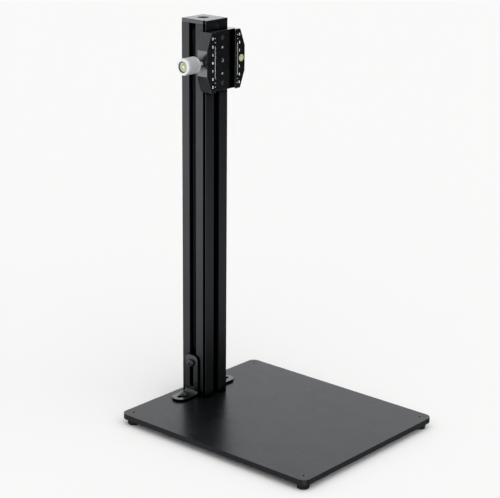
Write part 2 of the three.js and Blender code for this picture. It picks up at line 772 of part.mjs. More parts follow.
buildBasePlate();
buildFeet();
buildColumn();
buildColumnBolts();
buildCap();
buildStop();
buildBrackets();
buildClampBody();
buildClampFasteners();
buildMovingJaw();
buildKnob();

export default copyStand;
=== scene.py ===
"""Copy stand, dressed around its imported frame: finishes, fine edges, knurling, scale and levels."""

import logging
import math
from dataclasses import dataclass, replace
from enum import Enum
from typing import Iterable, Sequence

import bmesh
import bpy
from mathutils import Matrix, Vector


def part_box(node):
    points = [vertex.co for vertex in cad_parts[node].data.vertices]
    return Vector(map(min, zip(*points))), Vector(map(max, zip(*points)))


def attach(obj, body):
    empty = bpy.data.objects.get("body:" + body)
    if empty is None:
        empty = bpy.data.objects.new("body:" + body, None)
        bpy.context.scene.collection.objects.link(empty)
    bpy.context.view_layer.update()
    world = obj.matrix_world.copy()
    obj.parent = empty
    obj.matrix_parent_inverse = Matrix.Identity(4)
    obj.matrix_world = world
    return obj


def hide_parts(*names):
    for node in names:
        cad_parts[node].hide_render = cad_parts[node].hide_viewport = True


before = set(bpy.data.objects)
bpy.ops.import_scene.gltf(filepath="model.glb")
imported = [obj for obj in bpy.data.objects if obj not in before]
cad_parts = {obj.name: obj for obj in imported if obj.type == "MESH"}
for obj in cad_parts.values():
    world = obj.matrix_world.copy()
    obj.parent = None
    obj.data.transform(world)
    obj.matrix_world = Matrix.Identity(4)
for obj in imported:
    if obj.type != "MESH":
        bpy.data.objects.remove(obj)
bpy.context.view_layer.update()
LOG = logging.getLogger("copy_stand")

Point = tuple[float, float]
Triple = tuple[float, float, float]
Colour = Triple
Shape = bmesh.types.BMesh
Socket = bpy.types.NodeSocket

MILLIMETRE = 0.001
MERGE_DISTANCE = 1e-7
ON_SURFACE = 1e-6
OVERRUN = 0.001
TURNED_STEPS = 64
DRILLED_STEPS = 48
SMALL_STEPS = 32
ARC_STEPS = 12
FLANGE_EDGE = 0.0007
QUARTER = math.pi / 2
FULL_TURN = 2 * math.pi
SHARP_ANGLE = math.radians(40)
HEXAGON = 6
SIDES = ("left", "right")
ENDS = ("front", "back")
FLOOR_SCREWS = ("floor_screw_upper", "floor_screw_lower")


class Axis(Enum):
    """Axis of the shared frame that a shape is turned about or pushed along."""

    X = 0
    Y = 1
    Z = 2

    def matrix(self) -> Matrix:
        """Matrix that lays a shape's own third coordinate along this axis.

        Returns:
            The matrix.
        """
        rows = {
            Axis.X: ((0, 0, 1), (1, 0, 0), (0, 1, 0)),
            Axis.Y: ((1, 0, 0), (0, 0, 1), (0, 1, 0)),
            Axis.Z: ((1, 0, 0), (0, 1, 0), (0, 0, 1)),
        }
        return Matrix(rows[self]).to_4x4()


class Body(Enum):
    """Bodies of the stand that pieces ride on."""

    STAND = "root"
    CARRIAGE = "carriage"
    JAW = "jaw"
    KNOB = "knob"


class Slot(Enum):
    """Material slots of the record."""

    ANODISED = "black_anodised"
    BRACKET = "black_bracket"
    RUBBER = "rubber"
    BRASS = "brass"
    BLACK_STEEL = "black_steel"
    PLAIN_STEEL = "plain_steel"
    KNOB = "knob_aluminium"
    LIQUID = "level_liquid"


def corner_names(part: str) -> tuple[str, ...]:
    """Names of the four nodes of one kind that stand in the corners."""
    return tuple(f"{part}_{end}_{side}" for side in SIDES for end in ENDS)


def side_names(part: str) -> tuple[str, ...]:
    """Names of the two nodes of one kind that stand on either side of the column."""
    return tuple(f"{part}_{side}" for side in SIDES)


def settled(shape: Shape, place: Matrix) -> Shape:
    """Moves a shape to its place, welds it and turns its faces outwards.

    Args:
        shape: the mesh to finish.
        place: the matrix that carries it to the shared frame.

    Returns:
        The same mesh.
    """
    bmesh.ops.transform(shape, matrix=place, verts=shape.verts)
    bmesh.ops.remove_doubles(shape, verts=shape.verts, dist=MERGE_DISTANCE)
    bmesh.ops.recalc_face_normals(shape, faces=shape.faces)
    return shape


def prism(outline: Sequence[Point], low: float, high: float, axis: Axis = Axis.Z) -> Shape:
    """Pushes a closed outline between two places on an axis.

    Args:
        outline: points in X and Y for axis Z, X and Z for axis Y, or Y and Z for axis X.
        low: where it starts on the axis.
        high: where it ends on the axis.
        axis: the axis it is pushed along.

    Returns:
        The closed mesh.
    """
    shape = bmesh.new()
    face = shape.faces.new([shape.verts.new((u, v, low)) for u, v in outline])
    grown = bmesh.ops.extrude_face_region(shape, geom=[face])
    moved = [item for item in grown["geom"] if isinstance(item, bmesh.types.BMVert)]
    bmesh.ops.translate(shape, vec=(0.0, 0.0, high - low), verts=moved)
    return settled(shape, axis.matrix())


def lathe(
    profile: Sequence[Point],
    axis: Axis,
    centre: Vector,
    steps: int = TURNED_STEPS,
    closed: bool = False,
) -> Shape:
    """Turns a profile of (radius, place on the axis) points through a full circle.

    Args:
        profile: the points, from the axis back to the axis, or a ring's section.
        axis: the axis it is turned about.
        centre: a point on that axis; its coordinate along the axis isn't used.
        steps: how many steps make the circle.
        closed: whether the last point joins the first, as on a ring.

    Returns:
        The closed mesh.
    """
    shape = bmesh.new()
    verts = [shape.verts.new((radius, 0.0, place)) for radius, place in profile]
    pairs = list(zip(verts, verts[1:]))
    if closed:
        pairs.append((verts[-1], verts[0]))
    edges = [shape.edges.new(pair) for pair in pairs]
    bmesh.ops.spin(
        shape,
        geom=verts + edges,
        cent=(0.0, 0.0, 0.0),
        axis=(0.0, 0.0, 1.0),
        dvec=(0.0, 0.0, 0.0),
        angle=FULL_TURN,
        steps=steps,
        use_merge=True,
        use_duplicate=False,
    )
    offset = Vector(centre)
    offset[axis.value] = 0.0
    return settled(shape, Matrix.Translation(offset) @ axis.matrix())


def rod(radius: float, low: float, high: float, axis: Axis, centre: Vector) -> Shape:
    """Plain round bar, used to drill holes."""
    section = [(0.0, low), (radius, low), (radius, high), (0.0, high)]
    return lathe(section, axis, centre, DRILLED_STEPS)


def block(low: Vector, high: Vector) -> Shape:
    """Box between two corners.

    Args:
        low: its lowest corner.
        high: its highest corner.

    Returns:
        The closed mesh.
    """
    shape = bmesh.new()
    bmesh.ops.create_cube(shape, size=1.0)
    middle = (Vector(low) + Vector(high)) / 2
    size = Vector(high) - Vector(low)
    bmesh.ops.scale(shape, vec=size, verts=shape.verts)
    return settled(shape, Matrix.Translation(middle))


def arc(centre: Point, radius: float, start: float, end: float) -> list[Point]:
    """Points of an arc from one angle to another, both in radians."""
    angles = [start + (end - start) * step / ARC_STEPS for step in range(ARC_STEPS + 1)]
    return [(centre[0] + radius * math.cos(a), centre[1] + radius * math.sin(a)) for a in angles]


def rounded_rectangle(low: Point, high: Point, radius: float) -> list[Point]:
    """Outline of a rectangle with round corners.

    Args:
        low: its lowest corner.
        high: its highest corner.
        radius: radius of its corners.

    Returns:
        The points of the outline.
    """
    left, right = low[0] + radius, high[0] - radius
    front, back = low[1] + radius, high[1] - radius
    corners = ((right, front), (right, back), (left, back), (left, front))
    points: list[Point] = []
    for number, corner in enumerate(corners):
        start = (number - 1) * QUARTER
        points += arc(corner, radius, start, start + QUARTER)
    return points


def tube_section(inner: float, outer: float, low: float, high: float) -> list[Point]:
    """Section of a ring with square corners, between two places on its axis."""
    return [(inner, low), (outer, low), (outer, high), (inner, high)]


def countersunk(shank: float, head: float, low: float, high: float, centre: Vector) -> Shape:
    """Upright countersunk hole through a plate, as a cutting shape.

    Args:
        shank: radius of the hole.
        head: radius of its cone at the plate's top.
        low: height of the plate's underside.
        high: height of its top.
        centre: a point on the hole's axis.

    Returns:
        The closed mesh.
    """
    cone = head - shank
    section = [(shank, low - OVERRUN), (shank, high - cone), (head, high), (head, high + OVERRUN)]
    return lathe([(0.0, low - OVERRUN), *section, (0.0, high + OVERRUN)], Axis.Z, centre)


def slot_outline(start: float, end: float, centre: float, width: float) -> list[Point]:
    """Outline of a slot with round ends that runs along its first coordinate.

    Args:
        start: where it starts.
        end: where it ends.
        centre: second coordinate of its middle line.
        width: its width.

    Returns:
        The points of the outline.
    """
    radius = width / 2
    right = arc((end - radius, centre), radius, -QUARTER, QUARTER)
    left = arc((start + radius, centre), radius, QUARTER, 3 * QUARTER)
    return right + left


def both_sides(right: Sequence[Point]) -> list[Point]:
    """Closes a right-hand outline with its mirror image on the left."""
    return list(right) + [(-u, v) for u, v in reversed(right)]


def node_box(node: str) -> tuple[Vector, Vector]:
    """Lowest and highest corners of a frame node as vectors."""
    low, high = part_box(node)
    return Vector(low), Vector(high)


def node_centre(node: str) -> Vector:
    """Middle of a frame node's box."""
    low, high = node_box(node)
    return (low + high) / 2


@dataclass(frozen=True)
class EdgeBreak:
    """Small rounding that every machined edge has."""

    width: float = 0.0003
    segments: int = 3
    angle: float = math.radians(29)
    profile: float = 0.5
    face_weight: int = 80

    def apply(self, piece: bpy.types.Object) -> None:
        """Adds the rounding to a piece, with flat faces kept flat in shading.

        Args:
            piece: the object to round.
        """
        bevel = piece.modifiers.new("edge_break", "BEVEL")
        bevel.width = self.width
        bevel.segments = self.segments
        bevel.limit_method = "ANGLE"
        bevel.angle_limit = self.angle
        bevel.profile = self.profile
        bevel.miter_outer = "MITER_ARC"
        bevel.use_clamp_overlap = True
        weighted = piece.modifiers.new("flat_faces", "WEIGHTED_NORMAL")
        weighted.keep_sharp = False
        weighted.weight = self.face_weight


class Workshop:
    """Turns shapes into finished pieces of the stand."""

    @staticmethod
    def piece(name: str, shape: Shape) -> bpy.types.Object:
        """Makes a smooth-shaded object from a shape.

        Args:
            name: the object's name.
            shape: its mesh, which is used up.

        Returns:
            The new object.
        """
        mesh = bpy.data.meshes.new(name)
        shape.to_mesh(mesh)
        shape.free()
        mesh.shade_smooth()
        made = bpy.data.objects.new(name, mesh)
        bpy.context.scene.collection.objects.link(made)
        return made

    @staticmethod
    def join(whole: Shape, part: Shape) -> None:
        """Adds one shape's mesh to another.

        Args:
            whole: the mesh that grows.
            part: the mesh that is added, which is used up.
        """
        mesh = bpy.data.meshes.new("joined_part")
        part.to_mesh(mesh)
        part.free()
        whole.from_mesh(mesh)
        bpy.data.meshes.remove(mesh)

    @staticmethod
    def set_modifiers(piece: bpy.types.Object) -> None:
        """Makes a piece's modifiers part of its mesh.

        Args:
            piece: the object whose modifiers are applied.
        """
        graph = bpy.context.evaluated_depsgraph_get()
        shaped = piece.evaluated_get(graph)
        mesh = bpy.data.meshes.new_from_object(shaped, preserve_all_data_layers=True, depsgraph=graph)
        old = piece.data
        piece.modifiers.clear()
        piece.data = mesh
        bpy.data.meshes.remove(old)
        mesh.name = piece.name

    @classmethod
    def cut(cls, piece: bpy.types.Object, shapes: Iterable[Shape], operation: str = "DIFFERENCE") -> None:
        """Cuts shapes out of a piece, or keeps what it shares with them.

        Args:
            piece: the object to cut.
            shapes: the cutting shapes, which are used up.
            operation: the boolean operation's name.
        """
        for shape in shapes:
            tool = cls.piece("cutting_tool", shape)
            cut = piece.modifiers.new("cut", "BOOLEAN")
            cut.operation = operation
            cut.solver = "EXACT"
            cut.object = tool
            cls.set_modifiers(piece)
            bpy.data.objects.remove(tool)

    @classmethod
    def finish(
        cls,
        piece: bpy.types.Object,
        finish: "Finish",
        body: Body,
        nodes: Sequence[str] = (),
        edge: EdgeBreak | None = None,
    ) -> None:
        """Rounds a piece's edges, dresses it and hands it to its body.

        Args:
            piece: the object to finish.
            finish: the finish that it wears.
            body: the body that it rides on.
            nodes: the frame nodes that it stands for.
            edge: the rounding of its edges, or None for a piece that is smooth already.
        """
        if edge is not None:
            edge.apply(piece)
            cls.set_modifiers(piece)
        piece.data.materials.clear()
        piece.data.materials.append(finish.material())
        if nodes:
            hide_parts(*nodes)
        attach(piece, body.value)
        LOG.info("%s: %d faces on %s", piece.name, len(piece.data.polygons), body.value)

    @classmethod
    def dress(
        cls,
        node: str,
        shape: Shape,
        finish: "Finish",
        body: Body,
        edge: EdgeBreak,
        forms: Sequence[Shape] = (),
        cuts: Sequence[Shape] = (),
    ) -> None:
        """Makes the finished piece that stands for one frame node.

        Args:
            node: the frame node's name.
            shape: the piece's mesh, which is used up.
            finish: the finish that it wears.
            body: the body that it rides on.
            edge: the rounding of its edges.
            forms: shapes that it is kept inside of, which are used up.
            cuts: shapes that are cut out of it after that, which are used up.
        """
        made = cls.piece(f"{node}_dressed", shape)
        cls.cut(made, forms, "INTERSECT")
        cls.cut(made, cuts)
        cls.finish(made, finish, body, [node], edge)


class Graph:
    """Lays nodes in a shader tree and joins their sockets."""

    def __init__(self, tree: bpy.types.NodeTree) -> None:
        """Starts on an existing tree, which is emptied."""
        self.tree = tree
        tree.nodes.clear()

    def add(self, kind: str, inputs: dict | None = None, **settings: object) -> bpy.types.Node:
        """Adds a node.

        Args:
            kind: the node's type name.
            inputs: values or sockets for its inputs, by name or number.
            settings: the node's own settings.

        Returns:
            The new node.
        """
        node = self.tree.nodes.new(kind)
        for name, value in settings.items():
            setattr(node, name, value)
        for key, value in (inputs or {}).items():
            if isinstance(value, Socket):
                self.tree.links.new(value, node.inputs[key])
            else:
                node.inputs[key].default_value = value
        return node

    def maths(self, operation: str, *values: object) -> Socket:
        """Adds a maths node and returns its result."""
        return self.add("ShaderNodeMath", dict(enumerate(values)), operation=operation).outputs[0]

    def between(self, value: object, low: object, high: object, start: object, end: object) -> Socket:
        """Maps a value from one range to another, held at both ends."""
        inputs = {"Value": value, "From Min": low, "From Max": high, "To Min": start, "To Max": end}
        return self.add("ShaderNodeMapRange", inputs, clamp=True).outputs["Result"]

    def mixed(self, share: object, first: object, second: object) -> Socket:
        """Mixes two colours, which are the node's inputs 6 and 7, and returns the result."""
        node = self.add("ShaderNodeMix", {0: share, 6: first, 7: second}, data_type="RGBA")
        return node.outputs[2]

    def vectors(self, operation: str, first: object, second: object) -> bpy.types.Node:
        """Adds a vector maths node and returns it."""
        return self.add("ShaderNodeVectorMath", {0: first, 1: second}, operation=operation)

    def noise(self, place: object, scale: object, detail: float, **more: float) -> Socket:
        """Adds a noise texture and returns its value."""
        inputs = {"Vector": place, "Scale": scale, "Detail": detail, **more}
        return self.add("ShaderNodeTexNoise", inputs).outputs[0]

    def surface(self, shader: bpy.types.Node) -> None:
        """Makes a shader the surface of the material."""
        self.add("ShaderNodeOutputMaterial", {"Surface": shader.outputs[0]})


def new_material(name: str) -> tuple[bpy.types.Material, Graph]:
    """Starts a material, and returns it with its empty tree.

    Args:
        name: the material's name.

    Returns:
        The material and the graph that lays its nodes.
    """
    material = bpy.data.materials.new(name)
    material.use_nodes = True
    return material, Graph(material.node_tree)


class Effects:
    """Node groups that several finishes share."""

    EDGE = "edge_wear_and_painted_edges"
    GRAIN = "metal_grain"
    MARKS = "handling_marks"
    PAINTED_SHADE = "painted_recess_shade"

    EDGE_SAMPLES = 6
    EDGE_TURN = (0.995, 0.86)
    EDGE_BREAKS = (0.35, 0.65)
    GRAIN_TONES = (0.35, 0.65)
    GRAIN_SHARES = (0.7, 0.3)
    COARSE_SCALE = 0.12
    MARK_EDGES = (0.4, 0.68)
    PAINTED_SHADE_SAMPLES = 8
    PAINTED_SHADE_DEEP = 0.6

    @staticmethod
    def group(name: str, inputs: dict[str, tuple[str, object]], *outputs: str) -> tuple:
        """Starts a node group with named sockets.

        Args:
            name: the group's name.
            inputs: socket kind and default for each input.
            outputs: names of the outputs, which are all plain values.

        Returns:
            The group's graph, its inputs, and its output node's sockets.
        """
        tree = bpy.data.node_groups.new(name, "ShaderNodeTree")
        for label, (kind, default) in inputs.items():
            socket = tree.interface.new_socket(label, in_out="INPUT", socket_type=f"NodeSocket{kind}")
            socket.default_value = default
        for label in outputs:
            tree.interface.new_socket(label, in_out="OUTPUT", socket_type="NodeSocketFloat")
        graph = Graph(tree)
        return graph, graph.add("NodeGroupInput").outputs, graph.add("NodeGroupOutput").inputs

    @classmethod
    def build(cls) -> None:
        """Builds all the groups once."""
        cls.build_edge_mask()
        cls.build_grain()
        cls.build_marks()
        cls.build_painted_shade()

    @classmethod
    def build_edge_mask(cls) -> None:
        """Mask that is 1 along convex and concave edges, broken up by noise."""
        inputs = {"Radius": ("Float", 0.0006), "Break Up": ("Float", 900.0)}
        graph, given, out = cls.group(cls.EDGE, inputs, "Mask")
        place = graph.add("ShaderNodeTexCoord").outputs["Object"]
        rounded = graph.add("ShaderNodeBevel", {"Radius": given["Radius"]}, samples=cls.EDGE_SAMPLES)
        surface = graph.add("ShaderNodeNewGeometry").outputs["Normal"]
        facing = graph.vectors("DOT_PRODUCT", rounded.outputs[0], surface).outputs["Value"]
        edge = graph.between(facing, *cls.EDGE_TURN, 0.0, 1.0)
        noise = graph.noise(place, given["Break Up"], 3.0)
        edged = graph.maths("MULTIPLY", edge, graph.between(noise, *cls.EDGE_BREAKS, 0.35, 1.0))
        graph.tree.links.new(edged, out["Mask"])

    @classmethod
    def build_grain(cls) -> None:
        """Fine grain with its own stretch, as a height and as a tone."""
        inputs = {"Stretch": ("Vector", (1.0, 1.0, 1.0)), "Scale": ("Float", 4000.0)}
        graph, given, out = cls.group(cls.GRAIN, inputs, "Height", "Tone")
        place = graph.add("ShaderNodeTexCoord").outputs["Object"]
        stretched = graph.vectors("MULTIPLY", place, given["Stretch"]).outputs[0]
        fine = graph.noise(stretched, given["Scale"], 4.0)
        coarse = graph.noise(stretched, graph.maths("MULTIPLY", given["Scale"], cls.COARSE_SCALE), 2.0)
        shares = zip((fine, coarse), cls.GRAIN_SHARES)
        both = graph.maths("ADD", *(graph.maths("MULTIPLY", part, share) for part, share in shares))
        graph.tree.links.new(both, out["Height"])
        graph.tree.links.new(graph.between(both, *cls.GRAIN_TONES, 0.0, 1.0), out["Tone"])

    @classmethod
    def build_marks(cls) -> None:
        """Broad, soft patches left by handling and wiping."""
        graph, given, out = cls.group(cls.MARKS, {"Scale": ("Float", 22.0)}, "Mask")
        place = graph.add("ShaderNodeTexCoord").outputs["Object"]
        noise = graph.noise(place, given["Scale"], 5.0, Roughness=0.6, Distortion=0.8)
        graph.tree.links.new(graph.between(noise, *cls.MARK_EDGES, 0.0, 1.0), out["Mask"])

    @classmethod
    def build_painted_shade(cls) -> None:
        """Painted shade: mask that is 1 deep in slots, pockets and close gaps, where the finish darkens the
        surface to stand for the shade there.
        """
        inputs = {"Reach": ("Float", 0.012), "Open": ("Float", 0.85)}
        graph, given, out = cls.group(cls.PAINTED_SHADE, inputs, "Mask")
        reach = {"Distance": given["Reach"]}
        open_share = graph.add("ShaderNodeAmbientOcclusion", reach, samples=cls.PAINTED_SHADE_SAMPLES).outputs["AO"]
        deep = graph.between(open_share, cls.PAINTED_SHADE_DEEP, given["Open"], 1.0, 0.0)
        graph.tree.links.new(deep, out["Mask"])


@dataclass(frozen=True)
class Finish:
    """Surface of one kind of piece, as a procedural material."""

    name: str
    slot: Slot
    colour: Colour
    # Edge colour: rubbed wear on most finishes; on the floor screws it is also a painted highlight, on the
    # level's liquid a painted shade.
    edge_colour: Colour
    roughness: float
    metallic: float = 0.0
    specular: float = 0.5
    roughness_spread: float = 0.06
    tone_spread: float = 0.25
    grain_scale: float = 4000.0
    grain_stretch: Triple = (1.0, 1.0, 1.0)
    grain_depth: float = 0.00002
    grain_strength: float = 0.25
    edge_radius: float = 0.0005
    edge_share: float = 0.5
    marks: float = 0.05
    marks_scale: float = 22.0
    coat: float = 0.0
    coat_roughness: float = 0.1
    # Painted shade in hollows and close gaps: how strong it is, how far it looks out, and how open a place is
    # before it starts.
    painted_shade_strength: float = 0.0
    painted_shade_reach: float = 0.012
    painted_shade_open: float = 0.85

    def material(self) -> bpy.types.Material:
        """The finish's material, made on first use.

        Returns:
            The material.
        """
        known = bpy.data.materials.get(self.name)
        return known if known is not None else self.build()

    def build(self) -> bpy.types.Material:
        """Builds the material's node tree.

        Returns:
            The new material.
        """
        made, graph = new_material(self.name)
        made.diffuse_color = (*self.colour, 1.0)
        grain = self.effect(graph, Effects.GRAIN, Scale=self.grain_scale, Stretch=self.grain_stretch)
        marks = self.effect(graph, Effects.MARKS, Scale=self.marks_scale)
        edge = self.effect(graph, Effects.EDGE, Radius=self.edge_radius)
        shades = (1 - self.tone_spread, 1 + self.tone_spread)
        dark, light = ((*(channel * shade for channel in self.colour), 1.0) for shade in shades)
        toned = graph.mixed(grain.outputs["Tone"], dark, light)
        # The edge mask mixes in the edge colour: wear on most finishes, painted light on a few.
        edge_amount = graph.maths("MULTIPLY", edge.outputs["Mask"], self.edge_share)
        edged = graph.mixed(edge_amount, toned, (*self.edge_colour, 1.0))
        low, high = self.roughness - self.roughness_spread, self.roughness + self.roughness_spread
        rough = graph.between(grain.outputs["Tone"], 0.0, 1.0, low, high)
        handled = graph.maths("ADD", rough, graph.maths("MULTIPLY", marks.outputs["Mask"], self.marks))
        relief = {"Strength": self.grain_strength, "Distance": self.grain_depth}
        bump = graph.add("ShaderNodeBump", {"Height": grain.outputs["Height"], **relief})
        tint: object = edged
        metal: object = self.metallic
        coat: object = self.coat
        # Painted shade: in hollows and close gaps the colour goes to black and the coat goes away.
        if self.painted_shade_strength > 0:
            recess = self.effect(graph, Effects.PAINTED_SHADE, Reach=self.painted_shade_reach, Open=self.painted_shade_open)
            depth = graph.maths("MULTIPLY", recess.outputs["Mask"], self.painted_shade_strength)
            tint = graph.mixed(depth, edged, (0.0, 0.0, 0.0, 1.0))
            metal = graph.between(depth, 0.0, 1.0, self.metallic, 1.0)
            coat = graph.between(depth, 0.0, 1.0, self.coat, 0.0)
        inputs = {
            "Base Color": tint,
            "Roughness": handled,
            "Metallic": metal,
            "Specular IOR Level": self.specular,
            "Coat Weight": coat,
            "Coat Roughness": self.coat_roughness,
            "Normal": bump.outputs["Normal"],
        }
        graph.surface(graph.add("ShaderNodeBsdfPrincipled", inputs))
        return made

    @staticmethod
    def effect(graph: Graph, name: str, **inputs: object) -> bpy.types.Node:
        """Places a shared group in a material and sets its inputs.

        Args:
            graph: the material's graph.
            name: the group's name.
            inputs: values of the group's inputs.

        Returns:
            The group's node.
        """
        node = graph.add("ShaderNodeGroup", node_tree=bpy.data.node_groups[name])
        for label, value in inputs.items():
            node.inputs[label].default_value = value
        return node


ANODISED = Finish(
    name="black_anodised_satin",
    slot=Slot.ANODISED,
    colour=(0.0024, 0.0029, 0.0033),
    edge_colour=(0.035, 0.036, 0.038),
    roughness=0.34,
    grain_scale=5200.0,
    grain_strength=0.3,
)
EXTRUDED = replace(
    ANODISED,
    name="black_anodised_extrusion",
    colour=(0.0030, 0.0035, 0.0038),
    roughness=0.36,
    grain_scale=3600.0,
    grain_stretch=(1.0, 1.0, 0.02),
    grain_strength=0.25,
    # Painted shade: the column's slots and undercut are darkened inside.
    painted_shade_strength=1.0,
    painted_shade_open=0.9,
)
CAP_FINISH = replace(
    ANODISED,
    name="black_anodised_cap",
    roughness=0.26,
    grain_strength=0.2,
    coat=0.5,
    coat_roughness=0.16,
)
CLAMP_FINISH = replace(
    ANODISED,
    name="black_anodised_clamp",
    colour=(0.0020, 0.0026, 0.0030),
    edge_colour=(0.10, 0.103, 0.107),
    roughness=0.2,
    grain_strength=0.15,
    edge_share=0.7,
    coat=1.0,
    coat_roughness=0.06,
    # Painted shade: the jaw's side darkens near the knob, and the channel darkens in its corners.
    painted_shade_strength=0.95,
)
BASE_FINISH = replace(
    ANODISED,
    name="black_base_plate",
    colour=(0.0016, 0.0026, 0.0033),
    edge_colour=(0.03, 0.031, 0.033),
    roughness=0.27,
    grain_scale=4200.0,
    grain_strength=0.15,
    # Painted shade: the plate darkens around the column, brackets and screws and inside the brackets' slots.
    painted_shade_strength=1.0,
    painted_shade_reach=0.006,
    painted_shade_open=0.97,
)
BRACKET_FINISH = Finish(
    name="black_bracket_coating",
    slot=Slot.BRACKET,
    colour=(0.0018, 0.0024, 0.0028),
    edge_colour=(0.05, 0.052, 0.055),
    roughness=0.2,
    grain_scale=2600.0,
    grain_strength=0.3,
    coat=0.7,
    coat_roughness=0.08,
    # Painted shade: the slots in leg and foot are darkened inside.
    painted_shade_strength=1.0,
    painted_shade_reach=0.006,
    painted_shade_open=0.9,
)
RUBBER_FINISH = Finish(
    name="foot_rubber",
    slot=Slot.RUBBER,
    colour=(0.0040, 0.0042, 0.0048),
    edge_colour=(0.010, 0.010, 0.011),
    roughness=0.62,
    specular=0.3,
    grain_scale=2200.0,
    grain_strength=0.5,
)
BRASS_FINISH = Finish(
    name="turned_brass",
    slot=Slot.BRASS,
    colour=(0.62, 0.45, 0.20),
    edge_colour=(0.75, 0.60, 0.33),
    roughness=0.3,
    metallic=1.0,
    tone_spread=0.1,
)
BLACK_STEEL = Finish(
    name="black_oxide_steel",
    slot=Slot.BLACK_STEEL,
    colour=(0.010, 0.0105, 0.0115),
    edge_colour=(0.22, 0.225, 0.235),
    roughness=0.3,
    specular=0.7,
    edge_radius=0.0004,
    # Painted shade: hex sockets and close gaps are darkened.
    painted_shade_strength=1.0,
    painted_shade_reach=0.003,
    painted_shade_open=0.8,
)
DARK_STEEL = Finish(
    name="matt_black_steel",
    slot=Slot.BLACK_STEEL,
    colour=(0.0050, 0.0053, 0.0058),
    edge_colour=(0.03, 0.031, 0.033),
    roughness=0.6,
    specular=0.2,
    edge_radius=0.0003,
)
# Painted highlight: the pale edge colour on the floor screws' rims stands for glints as well as rubbed wear.
GLINT_RIM_STEEL = Finish(
    name="black_steel_rubbed_and_painted_glint",
    slot=Slot.BLACK_STEEL,
    colour=(0.012, 0.0125, 0.0135),
    edge_colour=(0.60, 0.61, 0.63),
    roughness=0.3,
    edge_radius=0.0004,
    edge_share=0.6,
)
PLAIN_STEEL = Finish(
    name="bright_steel",
    slot=Slot.PLAIN_STEEL,
    colour=(0.50, 0.51, 0.53),
    edge_colour=(0.68, 0.69, 0.71),
    roughness=0.28,
    metallic=1.0,
    tone_spread=0.1,
    edge_radius=0.0003,
)
KNOB_FINISH = Finish(
    name="clear_anodised_knob",
    slot=Slot.KNOB,
    colour=(0.72, 0.725, 0.74),
    edge_colour=(0.90, 0.91, 0.93),
    roughness=0.42,
    metallic=0.55,
    tone_spread=0.08,
    edge_radius=0.0002,
    edge_share=0.6,
    # Painted shade: the knurl's grooves are darkened.
    painted_shade_strength=0.5,
    painted_shade_reach=0.0009,
    painted_shade_open=0.97,
)
BARE_METAL = Finish(
    name="bare_cut_metal",
    slot=Slot.KNOB,
    colour=(0.62, 0.63, 0.65),
    edge_colour=(0.85, 0.86, 0.88),
    roughness=0.4,
    metallic=0.5,
    tone_spread=0.15,
    edge_radius=0.0002,
)
ENGRAVED = Finish(
    name="engraved_marks",
    slot=Slot.KNOB,
    colour=(0.90, 0.91, 0.90),
    edge_colour=(0.90, 0.91, 0.90),
    roughness=0.5,
    tone_spread=0.05,
    edge_share=0.0,
)
LIQUID = Finish(
    name="level_liquid_lime",
    slot=Slot.LIQUID,
    colour=(0.50, 0.54, 0.26),
    edge_colour=(0.20, 0.23, 0.06),
    roughness=0.16,
    tone_spread=0.05,
    grain_strength=0.0,
    # Painted shade: the darker edge colour darkens the vial's rim; the liquid itself doesn't wear.
    edge_radius=0.0006,
    edge_share=0.5,
    coat=1.0,
    coat_roughness=0.04,
)
BUBBLE = Finish(
    name="level_bubble",
    slot=Slot.LIQUID,
    colour=(0.72, 0.76, 0.52),
    edge_colour=(0.5, 0.55, 0.2),
    roughness=0.08,
    tone_spread=0.02,
    grain_strength=0.0,
    edge_share=0.0,
    coat=1.0,
    coat_roughness=0.03,
)
# Dark print of the level's circle; the same dark lines the knob's pocket wall as painted shade.
LEVEL_RING = Finish(
    name="level_circle_print_and_painted_shade",
    slot=Slot.BLACK_STEEL,
    colour=(0.02, 0.022, 0.015),
    edge_colour=(0.02, 0.022, 0.015),
    roughness=0.35,
    tone_spread=0.05,
    edge_share=0.0,
)


@dataclass(frozen=True)
class Fastener:
    """Screw or bolt that is turned from one profile and has a hexagonal socket."""

    nodes: tuple[str, ...]
    body: Body
    axis: Axis
    facing: int
    head: tuple[Point, ...]
    shank_radius: float
    across_flats: float
    socket_depth: float = 0.0018
    finish: Finish = BLACK_STEEL
    edge: EdgeBreak = EdgeBreak(0.00018, 2)
    drill_share: float = 0.35

    def build(self) -> None:
        """Builds every copy of the fastener where its frame node stands."""
        for node in self.nodes:
            self.build_one(node)

    def build_one(self, node: str) -> None:
        """Builds the fastener that stands for one frame node.

        Args:
            node: the frame node's name.
        """
        low, high = node_box(node)
        along = self.axis.value
        face, tip = (high[along], low[along]) if self.facing > 0 else (low[along], high[along])
        centre = node_centre(node)
        outline = [(0.0, face)] + [(radius, face - self.facing * depth) for radius, depth in self.head]
        seat = outline[-1][1]
        outline += [(self.shank_radius, seat), (self.shank_radius, tip), (0.0, tip)]
        turned = lathe(outline, self.axis, centre)
        cuts = [self.socket(face, centre)]
        Workshop.dress(node, turned, self.finish, self.body, self.edge, cuts=cuts)

    def socket(self, face: float, centre: Vector) -> Shape:
        """Hexagonal recess with a drilled bottom.

        Args:
            face: where the head's face lies on the axis.
            centre: a point on the axis.

        Returns:
            The cutting shape.
        """
        radius = self.across_flats / math.sqrt(3)
        outside = face + self.facing * OVERRUN
        bottom = face - self.facing * self.socket_depth
        drilled = bottom - self.facing * radius * self.drill_share
        section = [(0.0, outside), (radius, outside), (radius, bottom), (0.0, drilled)]
        return lathe(section, self.axis, centre, HEXAGON)


@dataclass(frozen=True)
class Washer:
    """Flat washer that is turned from a ring's section."""

    nodes: tuple[str, ...]
    axis: Axis
    hole_radius: float = 0.0028
    finish: Finish = BLACK_STEEL
    body: Body = Body.STAND
    edge: EdgeBreak = EdgeBreak(0.00015, 2)

    def build(self) -> None:
        """Builds every copy of the washer."""
        for node in self.nodes:
            low, high = node_box(node)
            along = self.axis.value
            across = (along + 1) % 3
            outer = (high[across] - low[across]) / 2
            section = tube_section(self.hole_radius, outer, low[along], high[along])
            ring = lathe(section, self.axis, node_centre(node), closed=True)
            Workshop.dress(node, ring, self.finish, self.body, self.edge)


